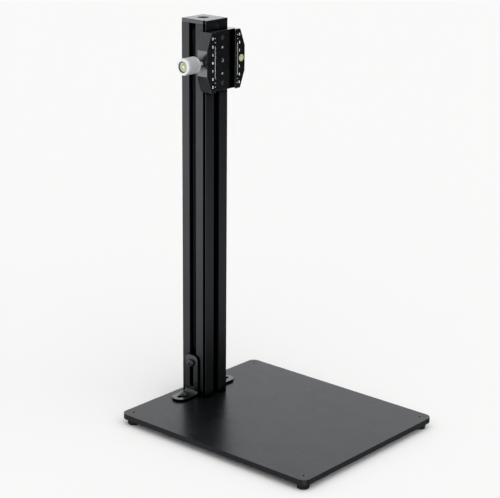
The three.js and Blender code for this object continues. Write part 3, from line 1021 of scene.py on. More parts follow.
@dataclass
class Base:
    """Base plate on its four rubber feet."""

    corner_radius: float = 0.010
    countersink_radius: float = 0.0048
    shank_hole_radius: float = 0.0023
    bracket_hole_radius: float = 0.0028
    bolt_head_radius: float = 0.0038
    bolt_head_depth: float = 0.0041
    foot_taper: float = 0.0005
    foot_groove: float = 0.0005
    foot_groove_share: float = 0.62
    foot_swell_share: float = 0.6
    plate_edge: EdgeBreak = EdgeBreak(0.0008, 3)
    foot_edge: EdgeBreak = EdgeBreak(0.0008, 3)

    def build(self) -> None:
        """Builds the plate and the feet."""
        self.build_plate()
        for node in corner_names("foot"):
            self.build_foot(node)

    def build_plate(self) -> None:
        """Builds the plate with its holes."""
        low, high = node_box("base_plate")
        outline = rounded_rectangle(low.xy, high.xy, self.corner_radius)
        plate = prism(outline, low.z, high.z)
        cuts = self.foot_holes(low, high) + self.bracket_holes(low, high) + self.bolt_holes(low)
        Workshop.dress("base_plate", plate, BASE_FINISH, Body.STAND, self.plate_edge, cuts=cuts)

    def foot_holes(self, low: Vector, high: Vector) -> list[Shape]:
        """Countersunk holes for the foot screws."""
        radii = (self.shank_hole_radius, self.countersink_radius)
        return [countersunk(*radii, low.z, high.z, node_centre(name)) for name in corner_names("foot_screw")]

    def bracket_holes(self, low: Vector, high: Vector) -> list[Shape]:
        """Holes under the brackets' foot screws.

        Args:
            low: the plate's lowest corner.
            high: the plate's highest corner.

        Returns:
            The cutting shapes.
        """
        reach = (low.z - OVERRUN, high.z + OVERRUN)
        names = side_names("bracket_screw")
        return [rod(self.bracket_hole_radius, *reach, Axis.Z, node_centre(name)) for name in names]

    def bolt_holes(self, low: Vector) -> list[Shape]:
        """Counterbores in the underside for the column bolts' heads.

        Args:
            low: the plate's lowest corner.

        Returns:
            The cutting shapes.
        """
        reach = (low.z - OVERRUN, low.z + self.bolt_head_depth)
        names = corner_names("column_bolt")
        return [rod(self.bolt_head_radius, *reach, Axis.Z, node_centre(name)) for name in names]

    def build_foot(self, node: str) -> None:
        """Builds one rubber foot.

        Args:
            node: the foot's frame node.
        """
        low, high = node_box(node)
        radius = (high.x - low.x) / 2
        narrow = radius - self.foot_taper
        groove = low.z + (high.z - low.z) * self.foot_groove_share
        profile = [
            (0.0, low.z),
            (narrow, low.z),
            (narrow + self.foot_taper * self.foot_swell_share, groove - self.foot_groove),
            (narrow, groove),
            (radius, groove + self.foot_groove),
            (radius, high.z),
            (0.0, high.z),
        ]
        turned = lathe(profile, Axis.Z, node_centre(node))
        Workshop.dress(node, turned, RUBBER_FINISH, Body.STAND, self.foot_edge)


@dataclass
class Column:
    """Slotted upright profile with its cap and stop."""

    undercut_mouth: float = 0.0042
    undercut_depth: float = 0.0031
    slot_mouth: float = 0.0112
    slot_lip: float = 0.003
    slot_cavity: float = 0.0144
    slot_depth: float = 0.0104
    slot_corner: float = 0.0022
    front_mouth: float = 0.010
    front_lip: float = 0.007
    front_depth: float = 0.0126
    cap_hole_radius: float = 0.0073
    stop_pocket_radius: float = 0.00305
    stop_pocket_depth: float = 0.00245
    seat_gap: float = 0.00005
    profile_edge: EdgeBreak = EdgeBreak(0.00045, 3)
    cap_edge: EdgeBreak = EdgeBreak(0.0005, 3)
    stop_edge: EdgeBreak = EdgeBreak(0.0004, 3)

    def build(self) -> None:
        """Builds the profile, the cap and the stop block."""
        self.low, self.high = node_box("column")
        self.build_profile()
        self.build_cap()
        self.build_stop()

    def ledge(self) -> float:
        """Depth at which the body behind the flange starts."""
        return self.low.y + FLANGE_EDGE + self.undercut_mouth

    def slot_centre(self) -> float:
        """Middle of the side slots."""
        return (self.ledge() + self.high.y) / 2

    def section(self) -> list[Point]:
        """Outline of the column seen from above, with its four slots.

        Returns:
            The points of the outline.
        """
        front, back = self.low.y, self.high.y
        wide = self.high.x
        centre = self.slot_centre()
        front_slot = self.slot_steps(self.front_mouth, self.front_lip, self.front_depth)
        side_slot = self.slot_steps(self.slot_mouth, self.slot_lip, self.slot_depth)
        right = [(u, front + v) for u, v in reversed(front_slot)]
        right += self.flange(wide, front, self.ledge()) + [(wide, self.ledge())]
        right += [(wide - v, centre - u) for u, v in side_slot]
        right += [(wide - v, centre + u) for u, v in reversed(side_slot)]
        right += [(wide, back)]
        right += [(u, back - v) for u, v in side_slot]
        return both_sides(right)

    def flange(self, wide: float, front: float, back: float) -> list[Point]:
        """Right-hand edge of the dovetail flange, from its front face to a depth behind it.

        Args:
            wide: half of the flange's width.
            front: depth of its front face.
            back: depth at which the edge ends.

        Returns:
            The points of the edge.
        """
        grip = front + FLANGE_EDGE
        neck = wide - self.undercut_depth
        return [(wide, front), (wide, grip), (neck, grip + self.undercut_depth), (neck, back)]

    def slot_steps(self, mouth: float, lip: float, depth: float) -> list[Point]:
        """Half of a slot's outline, from its mouth's edge to its bottom.

        Args:
            mouth: width of the slot's mouth.
            lip: how thick the lips beside it are.
            depth: the slot's full depth.

        Returns:
            Points of half width and depth.
        """
        half, cavity = mouth / 2, self.slot_cavity / 2
        corner = self.slot_corner
        return [(half, 0.0), (half, lip), (cavity, lip), (cavity, depth - corner), (cavity - corner, depth)]

    def build_profile(self) -> None:
        """Builds the column and cuts its flange away under the cap."""
        column = prism(self.section(), self.low.z, self.high.z)
        stop_low, _ = node_box("stop_block")
        notch = block(
            (self.low.x - OVERRUN, self.low.y - OVERRUN, stop_low.z - self.seat_gap),
            (self.high.x + OVERRUN, self.ledge(), self.high.z + OVERRUN),
        )
        Workshop.dress("column", column, EXTRUDED, Body.STAND, self.profile_edge, cuts=[notch])

    def build_cap(self) -> None:
        """Builds the cap with its countersunk hole."""
        low, high = node_box("top_cap")
        right = self.flange(high.x, low.y, self.ledge()) + [(high.x, self.ledge()), (high.x, high.y)]
        cap = prism(both_sides(right), low.z, high.z)
        radii = (self.cap_hole_radius / 2, self.cap_hole_radius)
        hole = countersunk(*radii, low.z, high.z, node_centre("cap_screw"))
        Workshop.dress("top_cap", cap, CAP_FINISH, Body.STAND, self.cap_edge, cuts=[hole])

    def build_stop(self) -> None:
        """Builds the stop block that keeps the clamp on the column."""
        low, high = node_box("stop_block")
        stop = prism(both_sides(self.flange(high.x, low.y, high.y)), low.z, high.z)
        reach = (low.y - OVERRUN, low.y + self.stop_pocket_depth)
        pocket = rod(self.stop_pocket_radius, *reach, Axis.Y, node_centre("stop_screw"))
        Workshop.dress("stop_block", stop, ANODISED, Body.STAND, self.stop_edge, cuts=[pocket])


@dataclass
class Bracket:
    """Angle bracket between the column's side and the base."""

    side: str
    thickness: float = 0.003
    bend: float = 0.004
    leg_corner: float = 0.007
    slot_width: float = 0.0066
    leg_slot: tuple[float, float] = (0.010, 0.0486)
    foot_slot: tuple[float, float] = (0.010, 0.0292)
    edge: EdgeBreak = EdgeBreak(0.00045, 3)

    def build(self) -> None:
        """Builds the bracket on its side of the column."""
        node = f"bracket_{self.side}"
        low, high = node_box(node)
        sign = -1.0 if self.side == SIDES[0] else 1.0
        inner = min(abs(low.x), abs(high.x))
        tip = max(abs(low.x), abs(high.x))
        angle = self.mirrored_prism(self.angle_outline(inner, tip, low.z, high.z), low.y, high.y, sign)
        forms = [self.leg_form(low, high), self.foot_form(low, high, sign)]
        cuts = [self.leg_cut(low, high, sign, inner), self.foot_cut(low, high, sign, inner)]
        Workshop.dress(node, angle, BRACKET_FINISH, Body.STAND, self.edge, forms, cuts)

    def angle_outline(self, inner: float, tip: float, bottom: float, top: float) -> list[Point]:
        """Side view of the angle, with distances from the column's middle plane.

        Args:
            inner: distance of the leg's inner face from the column's middle plane.
            tip: distance of the foot's far end from the same plane.
            bottom: height of the foot's underside.
            top: height of the leg's top.

        Returns:
            The points of the outline.
        """
        outer = inner + self.thickness
        floor = bottom + self.thickness
        bend = arc((outer + self.bend, floor + self.bend), self.bend, 2 * QUARTER, 3 * QUARTER)
        return [(inner, bottom), (inner, top), (outer, top), *bend, (tip, floor), (tip, bottom)]

    @staticmethod
    def mirrored_prism(outline: Sequence[Point], low: float, high: float, sign: float) -> Shape:
        """Pushes an outline along Y on one side of the column."""
        return prism([(sign * u, v) for u, v in outline], low, high, Axis.Y)

    def leg_form(self, low: Vector, high: Vector) -> Shape:
        """Block whose top corners are round, seen from the side.

        Args:
            low: the bracket's lowest corner.
            high: the bracket's highest corner.

        Returns:
            The closed mesh.
        """
        radius = self.leg_corner
        outline = [(low.y, low.z - OVERRUN), (high.y, low.z - OVERRUN)]
        outline += arc((high.y - radius, high.z - radius), radius, 0.0, QUARTER)
        outline += arc((low.y + radius, high.z - radius), radius, QUARTER, 2 * QUARTER)
        return prism(outline, low.x - OVERRUN, high.x + OVERRUN, Axis.X)

    @staticmethod
    def foot_form(low: Vector, high: Vector, sign: float) -> Shape:
        """Block whose far end is round, seen from above.

        Args:
            low: the bracket's lowest corner.
            high: the bracket's highest corner.
            sign: -1 for the left bracket and 1 for the right one.

        Returns:
            The closed mesh.
        """
        width = high.y - low.y
        centre = (low.y + high.y) / 2
        start, end = (low.x, width) if sign < 0 else (-width, high.x)
        return prism(slot_outline(start, end, centre, width), low.z - OVERRUN, high.z + OVERRUN)

    def leg_cut(self, low: Vector, high: Vector, sign: float, inner: float) -> Shape:
        """Slot in the leg, for the screw that goes into the column.

        Args:
            low: the bracket's lowest corner.
            high: the bracket's highest corner.
            sign: -1 for the left bracket and 1 for the right one.
            inner: distance of the leg's inner face from the column's middle plane.

        Returns:
            The cutting shape.
        """
        centre = (low.y + high.y) / 2
        plate_top = node_box("base_plate")[1].z
        start, end = (plate_top + place for place in self.leg_slot)
        outline = [(v, u) for u, v in slot_outline(start, end, centre, self.slot_width)]
        return prism(outline, *self.span(sign, inner - OVERRUN, inner + self.thickness + OVERRUN), Axis.X)

    def foot_cut(self, low: Vector, high: Vector, sign: float, inner: float) -> Shape:
        """Slot in the foot, for the screw that goes into the base.

        Args:
            low: the bracket's lowest corner.
            high: the bracket's highest corner.
            sign: -1 for the left bracket and 1 for the right one.
            inner: distance of the leg's inner face from the column's middle plane.

        Returns:
            The cutting shape.
        """
        centre = (low.y + high.y) / 2
        start, end = self.span(sign, inner + self.foot_slot[0], inner + self.foot_slot[1])
        outline = slot_outline(start, end, centre, self.slot_width)
        return prism(outline, low.z - OVERRUN, low.z + self.thickness + OVERRUN)

    @staticmethod
    def span(sign: float, near: float, far: float) -> tuple[float, float]:
        """A stretch away from the column, as low and high X."""
        return (near, far) if sign > 0 else (-far, -near)


@dataclass
class Clamp:
    """Double-sided clamp: fixed jaw with its web, and the moving jaw."""

    flat_height: float = 0.032
    end_taper: float = 0.0085
    channel_half: float = 0.0176
    channel_corner_half: float = 0.0223
    channel_corner: float = 0.0005
    lip_nose: float = 0.0008
    back_chamfer: float = 0.0022
    web: float = 0.0093
    slide_gap: float = 0.0003
    level_pocket: float = 0.0049
    level_depth: float = 0.00375
    floor_hole: float = 0.0029
    floor_hole_depth: float = 0.0021
    tapped_radius: float = 0.0015
    tapped_depth: float = 0.0042
    tapped_height: float = 0.0164
    centre_radius: float = 0.0022
    thread_start: float = 0.0003
    thread_depth: float = 0.00035
    thread_turns: int = 3
    edge: EdgeBreak = EdgeBreak(0.0004, 3, math.radians(15))

    def build(self) -> None:
        """Builds both jaws."""
        self.low, self.high = node_box("clamp_body")
        self.jaw_low, self.jaw_high = node_box("moving_jaw")
        self.middle = (self.low.z + self.high.z) / 2
        self.column_low, self.column_high = node_box("column")
        self.floor = self.column_low.y - self.slide_gap - self.web
        self.build_body()
        self.build_threads()
        self.build_moving_jaw()

    def section(self, inner: float, outer: float) -> list[Point]:
        """Jaw that stands on the right, seen from above.

        Args:
            inner: X at which its web starts.
            outer: X of its side face.

        Returns:
            The jaw's outline.
        """
        front, back = self.low.y, self.high.y
        side = self.column_high.x + self.slide_gap
        grip = self.column_low.y + FLANGE_EDGE
        slant = self.slide_gap * math.sqrt(2)
        lip_half = self.column_high.x - (back - grip) + slant
        channel_back = self.column_low.y - self.slide_gap
        return [
            (inner, self.floor),
            (self.channel_corner_half, self.floor),
            (self.channel_corner_half, self.floor - self.channel_corner),
            (self.channel_half, front + self.lip_nose),
            (self.channel_half, front),
            (outer, front),
            (outer, back - self.back_chamfer),
            (outer - self.back_chamfer, back),
            (lip_half, back),
            (side, grip + slant - self.slide_gap),
            (side, channel_back),
            (inner, channel_back),
        ]

    def outline_form(self) -> Shape:
        """Prism of the clamp's front outline, with tapered ends.

        Returns:
            The closed mesh.
        """
        reach, flat = (self.high.z - self.low.z) / 2, self.flat_height / 2
        left, right = self.jaw_low.x, self.high.x
        left_end, right_end = left + self.end_taper, right - self.end_taper
        heights = (-reach, -flat, flat, reach)
        outline = list(zip((right_end, right, right, right_end), heights))
        outline += zip((left_end, left, left, left_end), reversed(heights))
        places = [(u, self.middle + v) for u, v in outline]
        return prism(places, self.low.y - OVERRUN, self.high.y + OVERRUN, Axis.Y)

    def build_body(self) -> None:
        """Builds the fixed jaw with the web behind the channel."""
        body = prism(self.section(self.low.x, self.high.x), self.low.z, self.high.z)
        level = node_centre("jaw_level")
        pocket = (self.low.y - OVERRUN, self.low.y + self.level_depth)
        cuts = [rod(self.level_pocket, *pocket, Axis.Y, level)]
        start = self.floor - OVERRUN
        sunk = (start, self.floor + self.floor_hole_depth)
        cuts += [rod(self.floor_hole, *sunk, Axis.Y, node_centre(name)) for name in FLOOR_SCREWS]
        tapped = (start, self.floor + self.tapped_depth)
        cuts += [rod(self.tapped_radius, *tapped, Axis.Y, centre) for centre in self.tapped_places()]
        through = (start, self.column_low.y)
        cuts.append(rod(self.centre_radius, *through, Axis.Y, Vector((0.0, 0.0, self.middle))))
        forms = [self.outline_form()]
        Workshop.dress("clamp_body", body, CLAMP_FINISH, Body.CARRIAGE, self.edge, forms, cuts)

    def tapped_places(self) -> list[Vector]:
        """Middles of the two tapped holes in the channel's floor."""
        return [Vector((0.0, 0.0, self.middle + sign * self.tapped_height)) for sign in (-1.0, 1.0)]

    def build_threads(self) -> None:
        """Builds the bare threads in the floor's holes, as stacked ridges."""
        pitch = 2 * self.thread_depth
        holes = [(centre, self.tapped_radius, self.thread_turns) for centre in self.tapped_places()]
        holes.append((Vector((0.0, 0.0, self.middle)), self.centre_radius, 1))
        for number, (centre, radius, turns) in enumerate(holes):
            ridges = bmesh.new()
            for turn in range(turns):
                middle = self.floor + self.thread_start + pitch * (turn + 0.5)
                ends = [(radius, middle + share * pitch) for share in (-0.5, 0.5)]
                section = [ends[0], (radius - self.thread_depth, middle), ends[1]]
                Workshop.join(ridges, lathe(section, Axis.Y, centre, SMALL_STEPS, closed=True))
            made = Workshop.piece(f"tapped_thread_{number}", ridges)
            made.data.set_sharp_from_angle(angle=SHARP_ANGLE)
            Workshop.finish(made, BARE_METAL, Body.CARRIAGE)

    def build_moving_jaw(self) -> None:
        """Builds the left jaw, which the knob moves."""
        outline = [(-u, v) for u, v in self.section(-self.jaw_high.x, -self.jaw_low.x)]
        jaw = prism(outline, self.jaw_low.z, self.jaw_high.z)
        washer_low, washer_high = node_box("thrust_washer")
        radius = (washer_high - washer_low).z / 2 + self.slide_gap
        reach = (self.jaw_low.x - OVERRUN, washer_high.x)
        bore = rod(radius, *reach, Axis.X, node_centre("clamp_screw"))
        forms = [self.outline_form()]
        Workshop.dress("moving_jaw", jaw, CLAMP_FINISH, Body.JAW, self.edge, forms, [bore])


@dataclass
class Scale:
    """Scale on both jaws: numerals, a line of millimetre ticks and wider ticks beyond its ends."""

    step: float = 0.010
    numeral_places: tuple[float, float] = (-0.0237, 0.0255)
    tick_places: tuple[float, float] = (-0.0193, 0.0219)
    numeral_size: float = 0.0040
    numeral_weight: float = 0.0002
    tick_length: float = 0.0016
    tick_width: float = 0.00028
    end_tick_width: float = 0.0005
    dense_reach: int = 20
    end_ticks: tuple[int, ...] = (-30, -25, 25, 30)
    last_numeral: int = 3
    numeral_steps: int = 4
    proud: float = 0.00003
    sink: float = 0.00005

    def build(self) -> None:
        """Builds the marks of each jaw as one piece."""
        low, high = node_box("clamp_body")
        self.face = low.y
        self.middle = (low.z + high.z) / 2
        sides = zip(SIDES, self.numeral_places, self.tick_places, (Body.JAW, Body.CARRIAGE))
        for name, numerals, ticks, body in sides:
            self.build_side(name, numerals, ticks, body)

    def build_side(self, name: str, numerals: float, ticks: float, body: Body) -> None:
        """Builds one jaw's marks.

        Args:
            name: the side's name.
            numerals: X of the numerals' middles.
            ticks: X of the ticks' middles.
            body: the body that the jaw belongs to.
        """
        marks = bmesh.new()
        for millimetre in range(-self.dense_reach, self.dense_reach + 1):
            self.add_tick(marks, ticks, millimetre * MILLIMETRE, self.tick_width)
        for millimetre in self.end_ticks:
            self.add_tick(marks, ticks, millimetre * MILLIMETRE, self.end_tick_width)
        for number in range(-self.last_numeral, self.last_numeral + 1):
            if number != 0 or body is Body.JAW:
                self.add_numeral(marks, numerals, number)
        bmesh.ops.recalc_face_normals(marks, faces=marks.faces)
        made = Workshop.piece(f"scale_{name}", marks)
        made.data.shade_flat()
        Workshop.finish(made, ENGRAVED, body)

    def add_tick(self, marks: Shape, centre: float, height: float, width: float) -> None:
        """Adds one tick across the jaw's face.

        Args:
            marks: the mesh that grows.
            centre: X of the tick's middle.
            height: the tick's height above the jaw's middle.
            width: how wide its line is.
        """
        z = self.middle + height
        low = Vector((centre - self.tick_length / 2, self.face - self.proud, z - width / 2))
        high = Vector((centre + self.tick_length / 2, self.face + self.sink, z + width / 2))
        Workshop.join(marks, block(low, high))

    def add_numeral(self, marks: Shape, centre: float, number: int) -> None:
        """Adds one plain numeral beside its tick.

        Args:
            marks: the mesh that grows.
            centre: X of the numeral's middle.
            number: the step that it stands at, counted from the middle.
        """
        text = bpy.data.curves.new("numeral", "FONT")
        text.body = str(abs(number))
        text.size = self.numeral_size
        text.offset = self.numeral_weight
        text.extrude = (self.proud + self.sink) / 2
        text.align_x = "CENTER"
        text.align_y = "CENTER"
        text.resolution_u = self.numeral_steps
        writer = bpy.data.objects.new("numeral", text)
        bpy.context.scene.collection.objects.link(writer)
        graph = bpy.context.evaluated_depsgraph_get()
        mesh = bpy.data.meshes.new_from_object(writer.evaluated_get(graph))
        shape = bmesh.new()
        shape.from_mesh(mesh)
        place = Vector((centre, self.face, self.middle + number * self.step))
        turn = Matrix.Rotation(QUARTER, 4, "X")
        bmesh.ops.transform(shape, matrix=Matrix.Translation(place) @ turn, verts=shape.verts)
        Workshop.join(marks, shape)
        bpy.data.objects.remove(writer)
        bpy.data.meshes.remove(mesh)


@dataclass
class Knob:
    """Knurled clamp knob with a round level in its end."""

    shoulder_places: tuple[float, ...] = (0.0, 0.02, 0.08, 0.20, 0.40, 0.62, 0.82)
    shoulder_shares: tuple[float, ...] = (0.58, 0.64, 0.72, 0.81, 0.90, 0.955, 0.987)
    neck_radius: float = 0.0026
    neck_reach: float = 0.0102
    shoulder: float = 0.0034
    end_chamfer: float = 0.0008
    rim_radius: float = 0.0106
    grip_radius: float = 0.0104
    pocket_radius: float = 0.0070
    pocket_depth: float = 0.00555
    sleeve_wall: float = 0.00025
    sleeve_sink: float = 0.0004
    sleeve_edge: EdgeBreak = EdgeBreak(0.00008, 2)
    sleeve_play: float = 0.00005
    grip_inset: float = 0.0012
    end_band: float = 0.0041
    starts: int = 52
    pitch: float = 0.00125
    knurl_depth: float = 0.00042
    knurl_lead: float = 1.35
    knurl_gain: float = 1.7
    band_depth: float = 0.0003
    band_places: tuple[float, float, float] = (0.0002, 0.0004, 0.0008)
    chamfer_round: tuple[float, float] = (0.45, 0.8)
    pocket_chamfer: float = 0.0004
    steps: int = 312
    rows: int = 68

    def build(self) -> None:
        """Builds the knob and its level."""
        self.low, self.high = node_box("knob")
        self.axis_point = node_centre("clamp_screw")
        self.build_grip()
        self.build_painted_shade_sleeve()
        Level("knob_level", Axis.X, Body.KNOB).build()

    def build_grip(self) -> None:
        """Builds the turned body and knurls its grip."""
        shoulder_start = self.jaw_face() - self.neck_reach
        grip_start = shoulder_start - self.shoulder
        grip_end = self.low.x + self.end_band
        rise = self.grip_radius - self.neck_radius
        shoulder = [
            (self.neck_radius + rise * share, shoulder_start - self.shoulder * place)
            for place, share in zip(self.shoulder_places, self.shoulder_shares)
        ]
        grip = [
            (self.grip_radius, grip_start + (grip_end - grip_start) * row / self.rows)
            for row in range(self.rows + 1)
        ]
        profile = [(0.0, self.high.x), (self.neck_radius, self.high.x), (self.neck_radius, shoulder_start)]
        profile += shoulder + grip
        band_start, band_end, rim_start = (grip_end - place for place in self.band_places)
        across, along = self.chamfer_round
        end = self.low.x
        profile += [
            (self.grip_radius - self.band_depth, band_start),
            (self.grip_radius - self.band_depth, band_end),
            (self.rim_radius, rim_start),
            (self.rim_radius, end + 2 * self.end_chamfer),
            (self.rim_radius - self.end_chamfer * across, end + self.end_chamfer * along),
            (self.rim_radius - self.end_chamfer, end),
            (self.pocket_radius + self.pocket_chamfer, end),
            (self.pocket_radius, end + self.pocket_chamfer),
            (self.pocket_radius, end + self.pocket_depth),
            (0.0, end + self.pocket_depth),
        ]
        shape = lathe(profile, Axis.X, self.axis_point, self.steps)
        self.knurl(shape, grip_start, grip_end)
        made = Workshop.piece("knob_dressed", shape)
        made.data.set_sharp_from_angle(angle=SHARP_ANGLE)
        Workshop.finish(made, KNOB_FINISH, Body.KNOB, ["knob"])

    def build_painted_shade_sleeve(self) -> None:
        """Lines the pocket's wall in front of the level with a thin dark sleeve, a painted shade on that
        wall.
        """
        outer = self.pocket_radius - self.sleeve_play
        reach = (self.low.x + self.sleeve_sink, node_box("knob_level")[0].x)
        section = tube_section(outer - self.sleeve_wall, outer, *reach)
        sleeve = Workshop.piece("knob_level_painted_shade_sleeve", lathe(section, Axis.X, self.axis_point, closed=True))
        Workshop.finish(sleeve, LEVEL_RING, Body.KNOB, (), self.sleeve_edge)

    @staticmethod
    def jaw_face() -> float:
        """Outer face of the moving jaw, which the knob's neck comes out of."""
        return node_box("moving_jaw")[0].x

    def knurl(self, shape: Shape, start: float, end: float) -> None:
        """Presses two families of crossing grooves into the grip.

        Args:
            shape: the knob's mesh.
            start: inner end of the grip.
            end: outer end of the grip.
        """
        low, high = min(start, end), max(start, end)
        for vert in shape.verts:
            offset = Vector((0.0, vert.co.y - self.axis_point.y, vert.co.z - self.axis_point.z))
            if offset.length < self.grip_radius - ON_SURFACE or not low < vert.co.x < high:
                continue
            turn = math.atan2(offset.z, offset.y) / FULL_TURN * self.starts
            along = (vert.co.x - low) / (self.pitch * self.knurl_lead)
            ridge = min(abs(2 * (phase % 1.0) - 1) for phase in (turn + along, turn - along))
            fade = min(1.0, (vert.co.x - low) / self.grip_inset, (high - vert.co.x) / self.grip_inset)
            press = self.knurl_depth * fade * (1.0 - min(1.0, ridge * self.knurl_gain))
            vert.co -= offset.normalized() * press


@dataclass
class Level:
    """Round level: a vial of liquid with a bubble inside a printed circle."""

    node: str
    axis: Axis
    body: Body
    crown_share: float = 0.05
    bubble_share: float = 0.30
    circle_share: float = 0.42
    circle_width_share: float = 0.05
    crown_places: tuple[float, ...] = (0.2, 0.4, 0.6, 0.8, 0.93)
    rim_share: float = 0.04
    bubble_rise_share: float = 0.22
    circle_sinks: tuple[float, float] = (0.00001, 0.00002)
    circle_sink_share: float = 0.6
    bubble_sink_shares: tuple[float, float] = (0.4, 0.6)
    bubble_steps: int = 6
    edge: EdgeBreak = EdgeBreak(0.0002, 2)

    def build(self) -> None:
        """Builds the vial, its printed circle and its bubble, facing the axis's low end."""
        low, high = node_box(self.node)
        along = self.axis.value
        across = (along + 1) % 3
        radius = (high[across] - low[across]) / 2
        face, back = low[along], high[along]
        centre = node_centre(self.node)
        crown = radius * self.crown_share
        profile = [(0.0, face)]
        profile += [(radius * share, face + crown * share * share) for share in self.crown_places]
        profile += [(radius, face + crown + radius * self.rim_share), (radius, back), (0.0, back)]
        vial = lathe(profile, self.axis, centre)
        Workshop.dress(self.node, vial, LIQUID, self.body, self.edge)
        self.build_circle(radius, face, crown, centre)
        self.build_bubble(radius, face, centre)

    def build_circle(self, radius: float, face: float, crown: float, centre: Vector) -> None:
        """Builds the printed circle as a thin ring on the vial.

        Args:
            radius: the vial's radius.
            face: place of the vial's foremost point on the axis.
            crown: how far the vial's face is domed.
            centre: a point on the vial's axis.
        """
        inner = radius * self.circle_share
        outer = inner + radius * self.circle_width_share
        inner_top, outer_top = (face + sink for sink in self.circle_sinks)
        bottom = face + crown * self.circle_sink_share
        section = [(inner, inner_top), (outer, outer_top), (outer, bottom), (inner, bottom)]
        ring = Workshop.piece(f"{self.node}_circle", lathe(section, self.axis, centre, closed=True))
        Workshop.finish(ring, LEVEL_RING, self.body)

    def build_bubble(self, radius: float, face: float, centre: Vector) -> None:
        """Builds the bubble as a low dome.

        Args:
            radius: the vial's radius.
            face: place of the vial's foremost point on the axis.
            centre: a point on the vial's axis.
        """
        size = radius * self.bubble_share
        rise = size * self.bubble_rise_share
        angles = [QUARTER * step / self.bubble_steps for step in range(self.bubble_steps + 1)]
        rim, bottom = (face + rise * share for share in self.bubble_sink_shares)
        profile = [(size * math.sin(a), rim - rise * math.cos(a)) for a in angles]
        profile.append((0.0, bottom))
        bubble = Workshop.piece(f"{self.node}_bubble", lathe(profile, self.axis, centre, SMALL_STEPS))
        Workshop.finish(bubble, BUBBLE, self.body)


@dataclass(frozen=True)
class InnerHardware:
    """Frame nodes inside the stand whose shape is right and that only need a finish."""

    finishes: tuple[tuple[Finish, tuple[str, ...]], ...]

    def dress(self) -> None:
        """Assigns each finish to its nodes."""
        for finish, names in self.finishes:
            for name in names:
                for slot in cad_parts[name].material_slots:
                    slot.material = finish.material()
                LOG.info("%s: %s", name, finish.name)


# Profiles of the heads: radius, and depth below the head's face.
FLAT_HEAD = ((0.0045, 0.0), (0.0020, 0.0025))
CAP_HEAD = ((0.0070, 0.0), (0.0031, 0.0039))
BUTTON_HEAD = ((0.0026, 0.0), (0.0034, 0.00022), (0.0041, 0.00075), (0.0046, 0.0016), (0.00475, 0.0029))
SOCKET_HEAD = ((0.0035, 0.0), (0.0035, 0.0038))
STOP_HEAD = ((0.00275, 0.0), (0.00275, 0.0024))
FLOOR_HEAD = ((0.0026, 0.0), (0.0026, 0.00175))

FASTENERS = (
    Fastener(corner_names("foot_screw"), Body.STAND, Axis.Z, 1, FLAT_HEAD, 0.0020, 0.003),
    Fastener(("cap_screw",), Body.STAND, Axis.Z, 1, CAP_HEAD, 0.0031, 0.005, 0.003, DARK_STEEL),
    Fastener(corner_names("column_bolt"), Body.STAND, Axis.Z, -1, SOCKET_HEAD, 0.0021, 0.003),
    Fastener(("stop_screw",), Body.STAND, Axis.Y, -1, STOP_HEAD, 0.0015, 0.002, 0.0014),
    Fastener(("leg_screw_left",), Body.STAND, Axis.X, -1, BUTTON_HEAD, 0.0025, 0.003),
    Fastener(("leg_screw_right",), Body.STAND, Axis.X, 1, BUTTON_HEAD, 0.0025, 0.003),
    Fastener(side_names("bracket_screw"), Body.STAND, Axis.Z, 1, BUTTON_HEAD, 0.0025, 0.003),
    Fastener(
        nodes=FLOOR_SCREWS,
        body=Body.CARRIAGE,
        axis=Axis.Y,
        facing=-1,
        head=FLOOR_HEAD,
        shank_radius=0.0015,
        across_flats=0.002,
        socket_depth=0.0009,
        finish=GLINT_RIM_STEEL,
        edge=EdgeBreak(0.00025, 2),
    ),
)
WASHERS = (Washer(side_names("leg_washer"), Axis.X), Washer(side_names("bracket_washer"), Axis.Z))
HARDWARE = InnerHardware(
    (
        (BRASS_FINISH, (*corner_names("foot_insert"), "thrust_washer")),
        (PLAIN_STEEL, (*side_names("slot_nut"), "stop_nut", "guide_pin_upper", "guide_pin_lower")),
        (PLAIN_STEEL, ("clamp_screw",)),
        (BLACK_STEEL, ("retaining_ring",)),
    )
)

# Cards on the floor, seen only in reflections: name, lowest and highest X and Y, and level.
FLOOR_CARDS = (
    ("far_front", (1.36, -2.8), (3.6, 0.2), 0.04),
    ("column_front", (0.95, -2.8), (1.35, 0.1), 0.2),
    ("middle_front", (0.30, -2.8), (0.94, 0.1), 0.42),
    ("near_front", (0.20, -0.9), (0.29, 0.1), 0.25),
    ("foot_front", (0.14, -0.9), (0.19, 0.1), 0.08),
    ("front_edge", (-0.13, -0.5), (0.139, -0.156), 0.25),
    ("left_edge", (-0.42, -0.16), (-0.134, 0.23), 0.4),
    ("column_foot", (-0.42, 0.24), (-0.134, 0.46), 1.1),
    ("taper", (-0.42, 0.47), (-0.134, 0.80), 0.15),
    ("bracket", (-0.133, 0.156), (0.0, 0.26), 0.28),
    ("column_side", (-0.80, 0.30), (-0.43, 0.80), 2.0),
    ("left_back", (-1.45, 0.81), (-0.43, 3.0), 2.05),
    ("far_back", (-2.8, 0.81), (-1.46, 3.0), 2.5),
)


